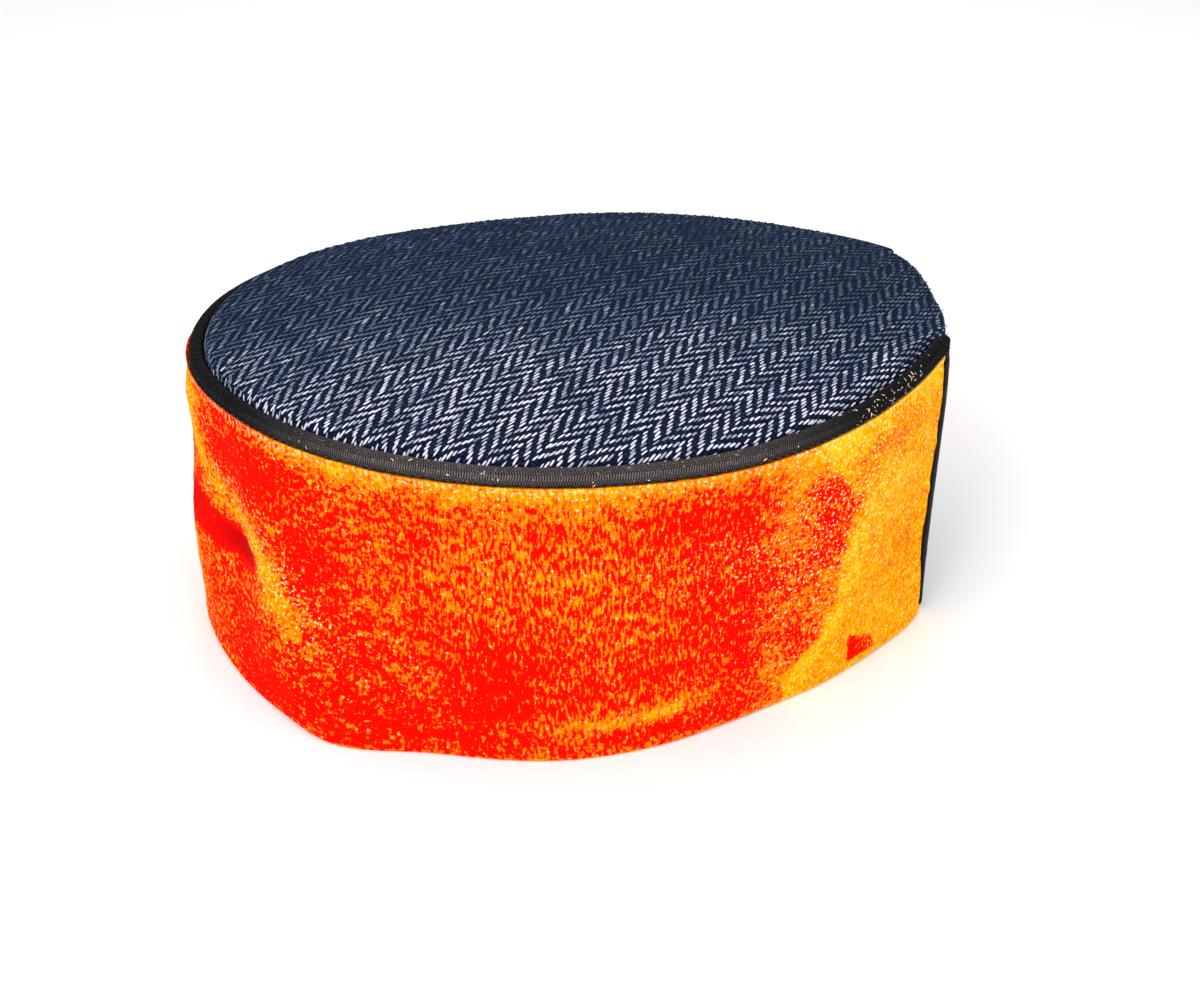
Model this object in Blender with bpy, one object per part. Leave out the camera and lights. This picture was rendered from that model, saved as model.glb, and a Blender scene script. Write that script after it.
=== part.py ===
"""Pahadi cap: a tweed crown on a tweed side band, with a turned-up velvet flap whose edge is bound.

Metres, +Z up. The cap stands on its hem on Z = 0, the wearer's front is towards -Y and the flap
opens at the back, towards +Y. The origin is the middle of the cap's box, on the floor.
Plan positions are polar: a bearing in degrees, counter-clockwise from +X seen from above, and a
radius from the middle of the head. Tables and named sizes are in millimetres and degrees.
"""
import math
from collections import namedtuple

import bmesh
import bpy

MM = 0.001

# Driving dimensions, in millimetres
RIM_HEIGHT = 78.3            # floor to the top of the crown's rolled edge
DOME_RISE = 6.4              # how far the middle of the crown stands above its edge
DOME_POWER = 2.5             # above 2, the dome is flatter in the middle and tips at its edge
TOP_THICKNESS = 2.0          # crown top cloth
ROLL_RADIUS = 2.6            # outer radius of the crown's rolled edge
SIDE_THICKNESS = 2.2         # side band cloth
SEAM_GAP = 0.3               # between the crown top's edge and the side band
SEAM_STEP = 0.5              # how far the side band lies inside the crown's edge
SEAM_HEIGHT = 73.0           # from here up the wall is upright and has no folds
FOLD_FREE_HEIGHT = 65.0      # the folds fade from here up to the seam's height
FLAP_THICKNESS = 2.4         # velvet and its backing
FLAP_PRESSED = 1.5           # the flap where the binding presses it
FLAP_PRESS_START = 3.2       # distance from the flap's edge where the pressing ends
FLAP_PRESS_END = 5.2         # distance from the flap's edge where the full thickness starts
FLAP_TOE = 1.2               # height of the rounding at the flap's hem
FLAP_TOE_SHARE = 0.4         # share of its thickness that the flap keeps at the floor
FLAP_END_COLUMN = 5.0        # from a bound corner to the first full column of the flap
BINDING_TOP = 77.5           # height of the binding's outer edge
BINDING_DEPTH = 4.0          # how far the binding reaches over the flap
BINDING_WIDTH = 3.8          # both walls and the flap between them
BINDING_WALL = 0.85          # one wall of the binding
BINDING_NOSE = 1.15          # thickness of the binding's folded edge
BINDING_CORNER = 4.2         # radius of the flap's bound corners
BINDING_FOOT = 4.0           # height of the binding's lower ends above the floor
CLEARANCE = 0.3              # between the binding and the flap

# The flap runs from its far end round the front to its near end, and opens at the back
FLAP_START = 108.0
FLAP_END = 429.5
END_DRAW = 5.5               # degrees that each end draws back at the hem, as it is cut on a slant
END_DRAW_REACH = 30.0        # degrees of the flap that draw back with its end
END_DRAW_LOW = 22.0          # height below which an end is drawn back in full
END_DRAW_HIGH = 66.0         # height above which it isn't drawn back
COLUMN_STEP = 5.0            # degrees between the columns of every wall

# A section of the cap: the radius of the crown's edge, and of the flap's outer face at the floor
Section = namedtuple("Section", "bearing crown hem")
SECTIONS = (
    Section(bearing=0, crown=80.2, hem=87.4),
    Section(bearing=15, crown=81.2, hem=85.6),
    Section(bearing=30, crown=82.0, hem=86.0),
    Section(bearing=48, crown=85.0, hem=91.6),
    Section(bearing=60, crown=89.6, hem=97.4),
    Section(bearing=68, crown=93.4, hem=98.4),
    Section(bearing=75, crown=98.4, hem=99.0),
    Section(bearing=88, crown=101.0, hem=100.5),
    Section(bearing=106, crown=105.8, hem=102.5),
    Section(bearing=125, crown=97.4, hem=98.0),
    Section(bearing=145, crown=89.8, hem=91.5),
    Section(bearing=165, crown=84.8, hem=87.5),
    Section(bearing=180, crown=82.3, hem=86.5),
    Section(bearing=200, crown=83.3, hem=88.0),
    Section(bearing=215, crown=87.8, hem=92.0),
    Section(bearing=230, crown=93.5, hem=98.0),
    Section(bearing=250, crown=98.3, hem=104.5),
    Section(bearing=270, crown=97.2, hem=106.6),
    Section(bearing=290, crown=91.4, hem=104.2),
    Section(bearing=310, crown=86.0, hem=98.4),
    Section(bearing=325, crown=83.0, hem=93.0),
    Section(bearing=345, crown=80.6, hem=89.8),
)

# A fold or dent of the wall: its middle, how far it pushes out, its spread and its slant,
# which is how far it runs round the cap for each millimetre of height
Fold = namedtuple("Fold", "name bearing height push spread spread_height slant")
FOLDS = (
    Fold("left hollow", 287, 42, push=-4.5, spread=5.5, spread_height=15, slant=-0.20),
    Fold("left ridge", 298, 28, push=2.2, spread=7, spread_height=24, slant=-0.53),
    Fold("hem corner", 311, 0, push=4.0, spread=8, spread_height=16, slant=-0.30),
    Fold("right ridge", 38, 32, push=1.8, spread=7, spread_height=30, slant=0.22),
    Fold("right hollow", 28, 58, push=-1.2, spread=8, spread_height=15, slant=0.0),
    Fold("front swell", 270, 66, push=2.6, spread=14, spread_height=10, slant=0.0),
    Fold("back dent", 190, 40, push=-1.5, spread=14, spread_height=22, slant=0.1),
)

# Where the flap's bound top edge stands above or below its usual level
Lift = namedtuple("Lift", "name bearing rise spread")
LIFTS = (
    Lift("near corner", 72, rise=2.3, spread=12),
    Lift("far edge", 165, rise=-1.1, spread=60),
)
LIFT_START = 55.0            # height from which the flap follows its top edge

# How far the middle of the flap's cloth stands off the side band, by height
StandOff = namedtuple("StandOff", "height distance")
STAND_OFFS = (
    StandOff(height=0.0, distance=2.25),
    StandOff(height=12.0, distance=2.3),
    StandOff(height=36.0, distance=2.6),
    StandOff(height=60.0, distance=3.1),
    StandOff(height=70.5, distance=3.1),
    StandOff(height=73.0, distance=2.75),
    StandOff(height=RIM_HEIGHT, distance=2.75),
)

# The binding's folded edge: how far from its outer edge, and how much of its width it has there
NosePoint = namedtuple("NosePoint", "depth share")
NOSE = (
    NosePoint(depth=0.0, share=0.35),
    NosePoint(depth=0.3, share=0.74),
    NosePoint(depth=1.1, share=1.0),
)

# Where the meshes have their rows: heights, shares of the dome's radius and angles of the arcs
WALL_ROWS = (12.0, 24.0, 36.0, 48.0, 60.0)
DOME_RINGS = (0.25, 0.5, 0.72, 0.88, 1.0)
ROLL_ANGLES = (60.0, 30.0, 0.0)
FLAP_CORNER_ANGLES = (0.0, 30.0, 55.0, 75.0, 90.0)
BINDING_CORNER_ANGLES = (0.0, 22.5, 45.0, 67.5, 90.0)

TWEED = {"name": "tweed", "colour": (0.030, 0.050, 0.110, 1.0), "roughness": 0.92}
VELVET = {"name": "velvet", "colour": (0.900, 0.120, 0.010, 1.0), "roughness": 0.75}
BINDING = {"name": "binding", "colour": (0.018, 0.018, 0.020, 1.0), "roughness": 0.55}


def section_radius(bearing, column):
    """Radius at a bearing, on a smooth closed curve through the sections' named column."""
    count = len(SECTIONS)
    bearing = bearing % 360.0
    here = max(i for i in range(count) if SECTIONS[i].bearing <= bearing)

    def knot(i):
        return SECTIONS[i % count].bearing + 360.0 * (i // count), getattr(SECTIONS[i % count], column)

    (b0, r0), (b1, r1), (b2, r2), (b3, r3) = (knot(here + step) for step in (-1, 0, 1, 2))
    span = b2 - b1
    slope_in = (r2 - r0) / (b2 - b0) * span
    slope_out = (r3 - r1) / (b3 - b1) * span
    t = (bearing - b1) / span
    return ((2 * t**3 - 3 * t**2 + 1) * r1 + (t**3 - 2 * t**2 + t) * slope_in
            + (3 * t**2 - 2 * t**3) * r2 + (t**3 - t**2) * slope_out)


def fold_push(bearing, height):
    """How far the folds together push the wall out at a place on it: not at all at the seam."""
    total = 0.0
    for fold in FOLDS:
        middle = fold.bearing + fold.slant * (height - fold.height)
        across = ((bearing - middle + 180.0) % 360.0 - 180.0) / fold.spread
        along = (height - fold.height) / fold.spread_height
        total += fold.push * math.exp(-0.5 * (across**2 + along**2))
    return total * (1 - smooth_step(FOLD_FREE_HEIGHT, SEAM_HEIGHT, height))


def stand_off(height):
    """Distance from the side band's outer face to the middle of the flap's cloth."""
    for low, high in zip(STAND_OFFS, STAND_OFFS[1:]):
        if height <= high.height:
            part = max(0.0, height - low.height) / (high.height - low.height)
            return low.distance + (high.distance - low.distance) * part
    return STAND_OFFS[-1].distance


def side_face(bearing, height):
    """Radius of the side band's outer face."""
    hem = section_radius(bearing, "hem") - STAND_OFFS[0].distance - FLAP_THICKNESS / 2
    crown = section_radius(bearing, "crown") - SEAM_STEP
    return hem + (crown - hem) * min(1.0, height / SEAM_HEIGHT) + fold_push(bearing, height)


def polar(bearing, radius, height):
    """A point in metres from its bearing, radius and height."""
    angle = math.radians(bearing)
    return (radius * math.cos(angle) * MM, radius * math.sin(angle) * MM, height * MM)


def wall_point(bearing, height, offset):
    """A point that stands off the side band's outer face by an offset."""
    return polar(bearing, side_face(bearing, height) + offset, height)


def flap_point(bearing, height, offset):
    """A point of the flap, whose ends draw back towards the hem and whose top edge rises and sinks."""
    near_start = 1 - smooth_step(FLAP_START, FLAP_START + END_DRAW_REACH, bearing)
    near_end = smooth_step(FLAP_END - END_DRAW_REACH, FLAP_END, bearing)
    low = 1 - smooth_step(END_DRAW_LOW, END_DRAW_HIGH, height)
    rise = 0.0
    for lift in LIFTS:
        away = ((bearing - lift.bearing + 180.0) % 360.0 - 180.0) / lift.spread
        rise += lift.rise * math.exp(-0.5 * away**2)
    drawn = bearing + END_DRAW * low * (near_start - near_end)
    return wall_point(drawn, height + rise * smooth_step(LIFT_START, SEAM_HEIGHT, height), offset)


def flap_degrees(distance, bearing):
    """A distance along the flap's edge as degrees of bearing."""
    return math.degrees(distance / side_face(bearing, RIM_HEIGHT / 2))


def smooth_step(low, high, value):
    """0 below low, 1 above high, and a smooth rise between."""
    t = min(1.0, max(0.0, (value - low) / (high - low)))
    return t * t * (3 - 2 * t)


def skin_rings(mesh, rings, closed):
    """Join rings of points into one closed body: round a loop, or capped at both ends."""
    loops = [[mesh.verts.new(point) for point in ring] for ring in rings]
    pairs = list(zip(loops, loops[1:]))
    if closed:
        pairs.append((loops[-1], loops[0]))
    for first, second in pairs:
        for i in range(len(first)):
            j = (i + 1) % len(first)
            mesh.faces.new((first[i], first[j], second[j], second[i]))
    if not closed:
        mesh.faces.new(reversed(loops[0]))
        mesh.faces.new(loops[-1])


def cap_with_pole(mesh, ring, point, upwards):
    """Close a ring round the axis with a fan of faces to one point."""
    pole = mesh.verts.new(point)
    for i, vert in enumerate(ring):
        following = ring[(i + 1) % len(ring)]
        mesh.faces.new((vert, following, pole) if upwards else (following, vert, pole))


def crown_top_mesh():
    """The domed crown: a shell that rolls over at its edge and ends on the seam."""
    mesh = bmesh.new()
    bearings = [COLUMN_STEP * i for i in range(round(360.0 / COLUMN_STEP))]
    edge_height = RIM_HEIGHT - ROLL_RADIUS
    inner_roll = ROLL_RADIUS - TOP_THICKNESS

    def dome(part, drop):
        """A ring of the dome, part of the way out to the roll, dropped by the cloth's thickness."""
        height = RIM_HEIGHT + DOME_RISE * (1 - part**DOME_POWER) - drop
        return [(part, 0.0, height)] * len(bearings)

    def roll(radius, angle):
        """A ring of the rolled edge, at an angle above the horizontal."""
        turn = math.radians(angle)
        return [(1.0, radius * math.cos(turn), edge_height + radius * math.sin(turn))] * len(bearings)

    outer = [dome(part, 0.0) for part in DOME_RINGS]
    outer += [roll(ROLL_RADIUS, angle) for angle in ROLL_ANGLES]
    inner = [roll(inner_roll, angle) for angle in reversed(ROLL_ANGLES)]
    inner += [dome(part, TOP_THICKNESS) for part in reversed(DOME_RINGS)]
    loops = []
    for profile in outer + inner:
        loop = []
        for bearing, (part, beyond, height) in zip(bearings, profile):
            radius = part * (section_radius(bearing, "crown") - ROLL_RADIUS) + beyond
            loop.append(mesh.verts.new(polar(bearing, radius, height)))
        loops.append(loop)
    for above, below in zip(loops, loops[1:]):
        for i in range(len(bearings)):
            j = (i + 1) % len(bearings)
            mesh.faces.new((above[i], below[i], below[j], above[j]))
    apex = RIM_HEIGHT + DOME_RISE
    cap_with_pole(mesh, loops[0], (0.0, 0.0, apex * MM), upwards=True)
    cap_with_pole(mesh, loops[-1], (0.0, 0.0, (apex - TOP_THICKNESS) * MM), upwards=False)
    return mesh


def crown_side_mesh():
    """The side band: one wall all the way round, flat at the hem."""
    mesh = bmesh.new()
    rows = (0.0,) + WALL_ROWS + (RIM_HEIGHT - ROLL_RADIUS - SEAM_GAP,)
    rings = []
    for i in range(round(360.0 / COLUMN_STEP)):
        bearing = COLUMN_STEP * i
        outside = [wall_point(bearing, height, 0.0) for height in rows]
        inside = [wall_point(bearing, height, -SIDE_THICKNESS) for height in reversed(rows)]
        rings.append(outside + inside)
    skin_rings(mesh, rings, closed=True)
    return mesh


def columns_between(first, last):
    """The bearings of the walls' columns that lie between two bearings."""
    low = math.floor(first / COLUMN_STEP) + 1
    high = math.ceil(last / COLUMN_STEP)
    return [COLUMN_STEP * i for i in range(low, high)]


def flap_columns(inset, corner):
    """Bearings of the flap's columns with the height of its edge at each, both corners rounded."""
    top = BINDING_TOP - inset
    turns = [math.radians(angle) for angle in FLAP_CORNER_ANGLES]
    rounded = [(inset + corner * (1 - math.cos(t)), top - corner * (1 - math.sin(t))) for t in turns]
    rounded.append((inset + corner + FLAP_END_COLUMN, top))
    start = [(FLAP_START + flap_degrees(along, FLAP_START), height) for along, height in rounded]
    end = [(FLAP_END - flap_degrees(along, FLAP_END), height) for along, height in reversed(rounded)]
    middle = [(bearing, top) for bearing in columns_between(start[-1][0], end[0][0])]
    return start + middle + end


def edge_distance(bearing, height, inset, corner):
    """How far a place on the flap lies from its bound edge."""
    from_start = (bearing - FLAP_START) / flap_degrees(1.0, FLAP_START)
    from_end = (FLAP_END - bearing) / flap_degrees(1.0, FLAP_END)
    along = min(from_start, from_end) - inset
    below = BINDING_TOP - inset - height
    if along < corner and below < corner:
        return corner - math.hypot(corner - along, corner - below)
    return min(along, below)


def velvet_flap_mesh():
    """The flap: a wall round the side band, thin where the binding presses it."""
    mesh = bmesh.new()
    inset = BINDING_NOSE + CLEARANCE
    corner = BINDING_CORNER - inset
    rings = []
    for bearing, top in flap_columns(inset, corner):
        heights = (0.0, FLAP_TOE) + WALL_ROWS + (top - FLAP_PRESS_END, top - FLAP_PRESS_START, top)
        outside = []
        inside = []
        for height in heights:
            distance = edge_distance(bearing, height, inset, corner)
            full = smooth_step(FLAP_PRESS_START, FLAP_PRESS_END, distance)
            half = (FLAP_PRESSED + (FLAP_THICKNESS - FLAP_PRESSED) * full) / 2
            if height == 0.0:
                half *= FLAP_TOE_SHARE
            middle = stand_off(height)
            outside.append(flap_point(bearing, height, middle + half))
            inside.append(flap_point(bearing, height, middle - half))
        rings.append(outside + inside[::-1])
    skin_rings(mesh, rings, closed=False)
    return mesh


def binding_corner(end, inward):
    """Places round one corner of the binding, from its upright end to its top edge."""
    places = []
    for angle in BINDING_CORNER_ANGLES:
        turn = math.radians(angle)
        along = BINDING_CORNER * (1 - math.cos(turn))
        height = BINDING_TOP - BINDING_CORNER * (1 - math.sin(turn))
        places.append((end + along * inward, height, math.cos(turn) * inward, -math.sin(turn)))
    return places


def binding_path():
    """Places along the binding's outer edge, each with the direction into the flap from it."""
    heights = (BINDING_FOOT,) + WALL_ROWS
    into_start = flap_degrees(1.0, FLAP_START)
    into_end = -flap_degrees(1.0, FLAP_END)
    up = [(FLAP_START, height, into_start, 0.0) for height in heights]
    up += binding_corner(FLAP_START, into_start)
    down = binding_corner(FLAP_END, into_end)[::-1]
    down += [(FLAP_END, height, into_end, 0.0) for height in reversed(heights)]
    top = [(bearing, BINDING_TOP, 0.0, -1.0) for bearing in columns_between(up[-1][0], down[0][0])]
    return up + top + down


def flap_binding_mesh():
    """The binding: one folded strip over the flap's ends and top edge, round both corners."""
    mesh = bmesh.new()
    half = BINDING_WIDTH / 2
    slot = half - BINDING_WALL
    outside = [(BINDING_DEPTH, half)] + [(point.depth, half * point.share) for point in reversed(NOSE)]
    profile = outside + [(depth, -across) for depth, across in reversed(outside)]
    profile += [(BINDING_DEPTH, -slot), (BINDING_NOSE, -slot), (BINDING_NOSE, slot), (BINDING_DEPTH, slot)]
    rings = []
    for bearing, height, inward, down in binding_path():
        ring = []
        for depth, across in profile:
            at_height = height + down * depth
            offset = stand_off(at_height) + across
            ring.append(flap_point(bearing + inward * depth, at_height, offset))
        rings.append(ring)
    skin_rings(mesh, rings, closed=False)
    return mesh


def principled(finish):
    """A Principled material from a finish."""
    material = bpy.data.materials.new(finish["name"])
    material.use_nodes = True
    shader = material.node_tree.nodes["Principled BSDF"]
    shader.inputs["Base Color"].default_value = finish["colour"]
    shader.inputs["Roughness"].default_value = finish["roughness"]
    shader.inputs["Metallic"].default_value = 0.0
    material.diffuse_color = finish["colour"]
    return material


def add_piece(name, mesh, finish):
    """Put a closed mesh in the scene as one named object with its finish."""
    if mesh.calc_volume(signed=True) < 0:
        bmesh.ops.reverse_faces(mesh, faces=mesh.faces)
    bmesh.ops.triangulate(mesh, faces=mesh.faces)
    data = bpy.data.meshes.new(name)
    mesh.to_mesh(data)
    mesh.free()
    data.materials.append(finish)
    data.shade_smooth()
    data.set_sharp_from_angle(angle=math.radians(40))
    piece = bpy.data.objects.new(name, data)
    bpy.context.scene.collection.objects.link(piece)
    return piece


def centre_on_origin(pieces):
    """Shift every piece so that the box of the whole cap is centred on the Z axis."""
    corners = [vert.co for piece in pieces for vert in piece.data.vertices]
    middle = [(min(co[axis] for co in corners) + max(co[axis] for co in corners)) / 2 for axis in (0, 1)]
    for piece in pieces:
        for vert in piece.data.vertices:
            vert.co.x -= middle[0]
            vert.co.y -= middle[1]


def main():
    """Build the cap."""
    for old in list(bpy.data.objects):
        bpy.data.objects.remove(old, do_unlink=True)
    tweed = principled(TWEED)
    pieces = [
        add_piece("crown_top", crown_top_mesh(), tweed),
        add_piece("crown_side", crown_side_mesh(), tweed),
        add_piece("velvet_flap", velvet_flap_mesh(), principled(VELVET)),
        add_piece("flap_binding", flap_binding_mesh(), principled(BINDING)),
    ]
    centre_on_origin(pieces)


main()
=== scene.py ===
"""The pahadi cap as it looks: herringbone crown, crushed velvet flap and ribbed black binding.

Each piece repeats the form of the model's own solids, finely enough to carry weave, pile and ribs.
Form tables are in millimetres and degrees. Meshes are in metres, in the frame that the model has.
"""
import logging
import math
from dataclasses import dataclass
from enum import Enum
from typing import Sequence

import bmesh
import bpy
import numpy as np
from mathutils import Matrix, Vector, noise


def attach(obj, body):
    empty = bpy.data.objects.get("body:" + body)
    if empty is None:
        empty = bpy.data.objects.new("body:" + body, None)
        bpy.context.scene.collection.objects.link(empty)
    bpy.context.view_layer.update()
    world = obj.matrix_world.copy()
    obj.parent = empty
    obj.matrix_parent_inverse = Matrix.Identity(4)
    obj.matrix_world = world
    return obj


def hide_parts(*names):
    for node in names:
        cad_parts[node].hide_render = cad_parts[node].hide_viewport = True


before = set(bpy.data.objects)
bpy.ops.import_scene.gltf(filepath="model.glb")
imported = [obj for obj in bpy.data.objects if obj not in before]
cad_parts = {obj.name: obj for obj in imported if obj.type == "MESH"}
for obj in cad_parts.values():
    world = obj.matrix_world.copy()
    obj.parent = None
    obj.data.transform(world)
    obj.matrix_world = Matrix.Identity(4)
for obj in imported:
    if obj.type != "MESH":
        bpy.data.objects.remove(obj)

MM = 0.001
MM_PER_DEGREE = 1.6
ANY_HEIGHT = 999
LOG = logging.getLogger("cap")


class Edge(Enum):
    """The two outlines that the cap's form is measured at."""

    CROWN = "crown"
    HEM = "hem"


def signed(bearing: np.ndarray) -> np.ndarray:
    """A bearing from -180 to 180 degrees."""
    return (bearing + 180.0) % 360.0 - 180.0


def smooth_step(low: float, high: float, value: np.ndarray) -> np.ndarray:
    """0 at low, 1 at high, and a smooth change between. It falls where low is the greater."""
    t = np.clip((value - low) / (high - low), 0.0, 1.0)
    return t * t * (3 - 2 * t)


@dataclass(frozen=True)
class Section:
    """Radius of the crown's edge and of the flap's outer face at the floor, at one bearing."""

    bearing: float
    crown: float
    hem: float


@dataclass(frozen=True)
class Fold:
    """A fold or dent of the wall, or a patch of the pile: its middle, its strength and its spread.

    A spread of ANY_HEIGHT makes it the same from the hem to the crown.
    """

    name: str
    bearing: float
    height: float
    push: float
    spread: float
    spread_height: float
    slant: float = 0.0

    def at(self, bearing: np.ndarray, height: np.ndarray) -> np.ndarray:
        """How strong the fold is at places on the wall.

        Args:
            bearing: degrees round the cap.
            height: millimetres above the hem.

        Returns:
            The fold's strength at each place, at most push.
        """
        middle = self.bearing + self.slant * (height - self.height)
        across = signed(bearing - middle) / self.spread
        along = (height - self.height) / self.spread_height
        return self.push * np.exp(-0.5 * (across**2 + along**2))


def together(folds: Sequence[Fold], bearing: np.ndarray, height: np.ndarray) -> np.ndarray:
    """How strong several folds are together at places on the wall."""
    return sum(fold.at(bearing, height) for fold in folds)


def unrolled(bearing: np.ndarray, height: np.ndarray) -> np.ndarray:
    """Places on the wall as if it were laid flat, in millimetres, for its noise."""
    return np.stack((bearing * MM_PER_DEGREE, height), axis=-1)


@dataclass(frozen=True)
class CapForm:
    """The cap's form: its outlines by bearing, its folds, and how its layers stand off each other."""

    rim_height: float = 78.3
    dome_rise: float = 6.4
    dome_power: float = 2.5
    top_thickness: float = 2.0
    roll_radius: float = 2.6
    side_thickness: float = 2.2
    seam_gap: float = 0.3
    seam_step: float = 0.5
    seam_height: float = 73.0
    fold_free_height: float = 65.0
    flap_half: float = 1.2
    flap_start: float = 108.0
    flap_end: float = 429.5
    end_draw: float = 5.5
    end_draw_reach: float = 30.0
    end_draw_low: float = 22.0
    end_draw_high: float = 66.0
    lift_start: float = 55.0
    sections: tuple[Section, ...] = (
        Section(0, 80.2, 86.8), Section(15, 81.2, 84.2), Section(30, 82.0, 84.4),
        Section(48, 85.0, 91.0), Section(60, 89.6, 97.4), Section(68, 93.4, 98.4),
        Section(75, 98.4, 99.0), Section(88, 101.0, 100.5), Section(106, 105.8, 102.5),
        Section(125, 97.4, 98.0), Section(145, 89.8, 91.5), Section(165, 84.8, 87.5),
        Section(180, 82.3, 86.5), Section(200, 83.3, 88.0), Section(215, 87.8, 92.0),
        Section(230, 93.5, 98.0), Section(250, 98.3, 104.5), Section(270, 97.2, 106.6),
        Section(290, 91.4, 104.2), Section(310, 86.0, 98.4), Section(325, 83.0, 93.0),
        Section(345, 80.6, 89.8),
    )
    folds: tuple[Fold, ...] = (
        Fold("left hollow", 287, 42, -4.5, 5.5, 15, -0.20),
        Fold("left ridge", 298, 28, 2.2, 7, 24, -0.53),
        Fold("hem corner", 311, 0, 4.0, 8, 16, -0.30),
        Fold("right ridge", 38, 32, 1.8, 7, 30, 0.22),
        Fold("right hollow", 28, 58, -1.2, 8, 15),
        Fold("front swell", 270, 66, 1.0, 14, 10),
        Fold("back dent", 190, 40, -1.5, 14, 22, 0.1),
    )
    lifts: tuple[Fold, ...] = (
        Fold("near corner", 72, 78, 2.3, 12, ANY_HEIGHT),
        Fold("far edge", 165, 78, -1.1, 60, ANY_HEIGHT),
    )
    end_curls: tuple[Fold, ...] = (
        Fold("near end curl", 434, 36, 2.6, 4.5, 19),
        Fold("near end pinch", 422, 34, -0.9, 5, 20),
    )
    stand_off_heights: tuple[float, ...] = (0.0, 12.0, 36.0, 60.0, 70.5, 73.0, 78.3)
    stand_off_distances: tuple[float, ...] = (2.25, 2.3, 2.6, 3.1, 3.1, 2.75, 2.75)

    def radius(self, bearing: np.ndarray, edge: Edge) -> np.ndarray:
        """Radius on a smooth closed curve through the sections.

        Args:
            bearing: degrees counter-clockwise from +X.
            edge: which outline.

        Returns:
            Radii in millimetres.
        """
        knots = np.array([section.bearing for section in self.sections], float)
        values = np.array([getattr(section, edge.value) for section in self.sections], float)
        knots = np.concatenate([knots - 360, knots, knots + 360, knots[:1] + 720])
        values = np.concatenate([values, values, values, values[:1]])
        slopes = np.gradient(values)
        slopes[1:-1] = (values[2:] - values[:-2]) / (knots[2:] - knots[:-2])
        turned = np.asarray(bearing, float) % 360.0
        here = np.searchsorted(knots, turned, side="right") - 1
        span = knots[here + 1] - knots[here]
        t = (turned - knots[here]) / span
        return ((2 * t**3 - 3 * t**2 + 1) * values[here] + (t**3 - 2 * t**2 + t) * slopes[here] * span
                + (3 * t**2 - 2 * t**3) * values[here + 1] + (t**3 - t**2) * slopes[here + 1] * span)

    def fold_push(self, bearing: np.ndarray, height: np.ndarray) -> np.ndarray:
        """How far the folds together push the wall out: not at all at the seam."""
        held = smooth_step(self.fold_free_height, self.seam_height, height)
        return together(self.folds, bearing, height) * (1 - held)

    def stand_off(self, height: np.ndarray) -> np.ndarray:
        """Distance from the side band's outer face to the middle of the flap's cloth."""
        return np.interp(height, self.stand_off_heights, self.stand_off_distances)

    def side_face(self, bearing: np.ndarray, height: np.ndarray) -> np.ndarray:
        """Radius of the side band's outer face.

        Args:
            bearing: degrees round the cap.
            height: millimetres above the hem.

        Returns:
            The radius in millimetres.
        """
        hem = self.radius(bearing, Edge.HEM) - self.stand_off_distances[0] - self.flap_half
        crown = self.radius(bearing, Edge.CROWN) - self.seam_step
        rise = np.minimum(1.0, height / self.seam_height)
        return hem + (crown - hem) * rise + self.fold_push(bearing, height)

    def degrees_along(self, distance: float, bearing: float) -> float:
        """A distance along the flap's edge as degrees of bearing."""
        radius = float(self.side_face(np.array(bearing), np.array(self.rim_height / 2)))
        return math.degrees(distance / radius)

    def pole(self) -> Vector:
        """The middle of the head in the model's frame, under the crown's highest corner."""
        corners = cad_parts["crown_top"].data.vertices
        apex = max((corner.co for corner in corners), key=lambda co: co.z)
        return Vector((apex.x, apex.y, 0.0))

    def wall(self, bearing: np.ndarray, height: np.ndarray, offset: np.ndarray) -> np.ndarray:
        """Points in metres that stand off the side band's outer face by an offset."""
        return self.polar(bearing, self.side_face(bearing, height) + offset, height)

    def curl(self, bearing: np.ndarray, height: np.ndarray) -> np.ndarray:
        """How far the flap's near end curls away from the side band."""
        return together(self.end_curls, bearing, height)

    def on_flap(self, bearing: np.ndarray, height: np.ndarray) -> tuple[np.ndarray, np.ndarray]:
        """Where a place of the flap lies once its ends draw back to the hem and its top rises and sinks.

        Args:
            bearing: bearing along the flap as it was cut.
            height: height on the flap as it was cut.

        Returns:
            Bearing and height on the cap.
        """
        near_start = 1 - smooth_step(self.flap_start, self.flap_start + self.end_draw_reach, bearing)
        near_end = smooth_step(self.flap_end - self.end_draw_reach, self.flap_end, bearing)
        low = 1 - smooth_step(self.end_draw_low, self.end_draw_high, height)
        rise = together(self.lifts, bearing, height)
        drawn = bearing + self.end_draw * low * (near_start - near_end)
        return drawn, height + rise * smooth_step(self.lift_start, self.seam_height, height)

    def polar(self, bearing: np.ndarray, radius: np.ndarray, height: np.ndarray) -> np.ndarray:
        """Points in metres from bearings, radii and heights.

        Args:
            bearing: degrees round the cap.
            radius: millimetres from the pole.
            height: millimetres above the hem.

        Returns:
            The points, one in each last row.
        """
        pole = self.pole()
        angle = np.radians(bearing)
        bearing, radius, height = np.broadcast_arrays(angle, radius, height)
        return np.stack((radius * np.cos(bearing) * MM + pole.x,
                         radius * np.sin(bearing) * MM + pole.y, height * MM), axis=-1)


FORM = CapForm()


def ripple(points: np.ndarray, length: float, seed: float) -> np.ndarray:
    """Smooth noise from -1 to 1 at points, whose waves have a given length in the points' unit.

    Args:
        points: flat or solid points, one in each last row.
        length: the waves' length.
        seed: which noise it is.

    Returns:
        One value for each point.
    """
    flat = points.reshape(-1, points.shape[-1]) / length
    depth = np.full((len(flat), 1), seed) if flat.shape[1] == 2 else flat[:, 2:] + seed
    spots = np.hstack((flat[:, :2], depth)).tolist()
    return np.array([noise.noise(spot) for spot in spots]).reshape(points.shape[:-1])


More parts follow.
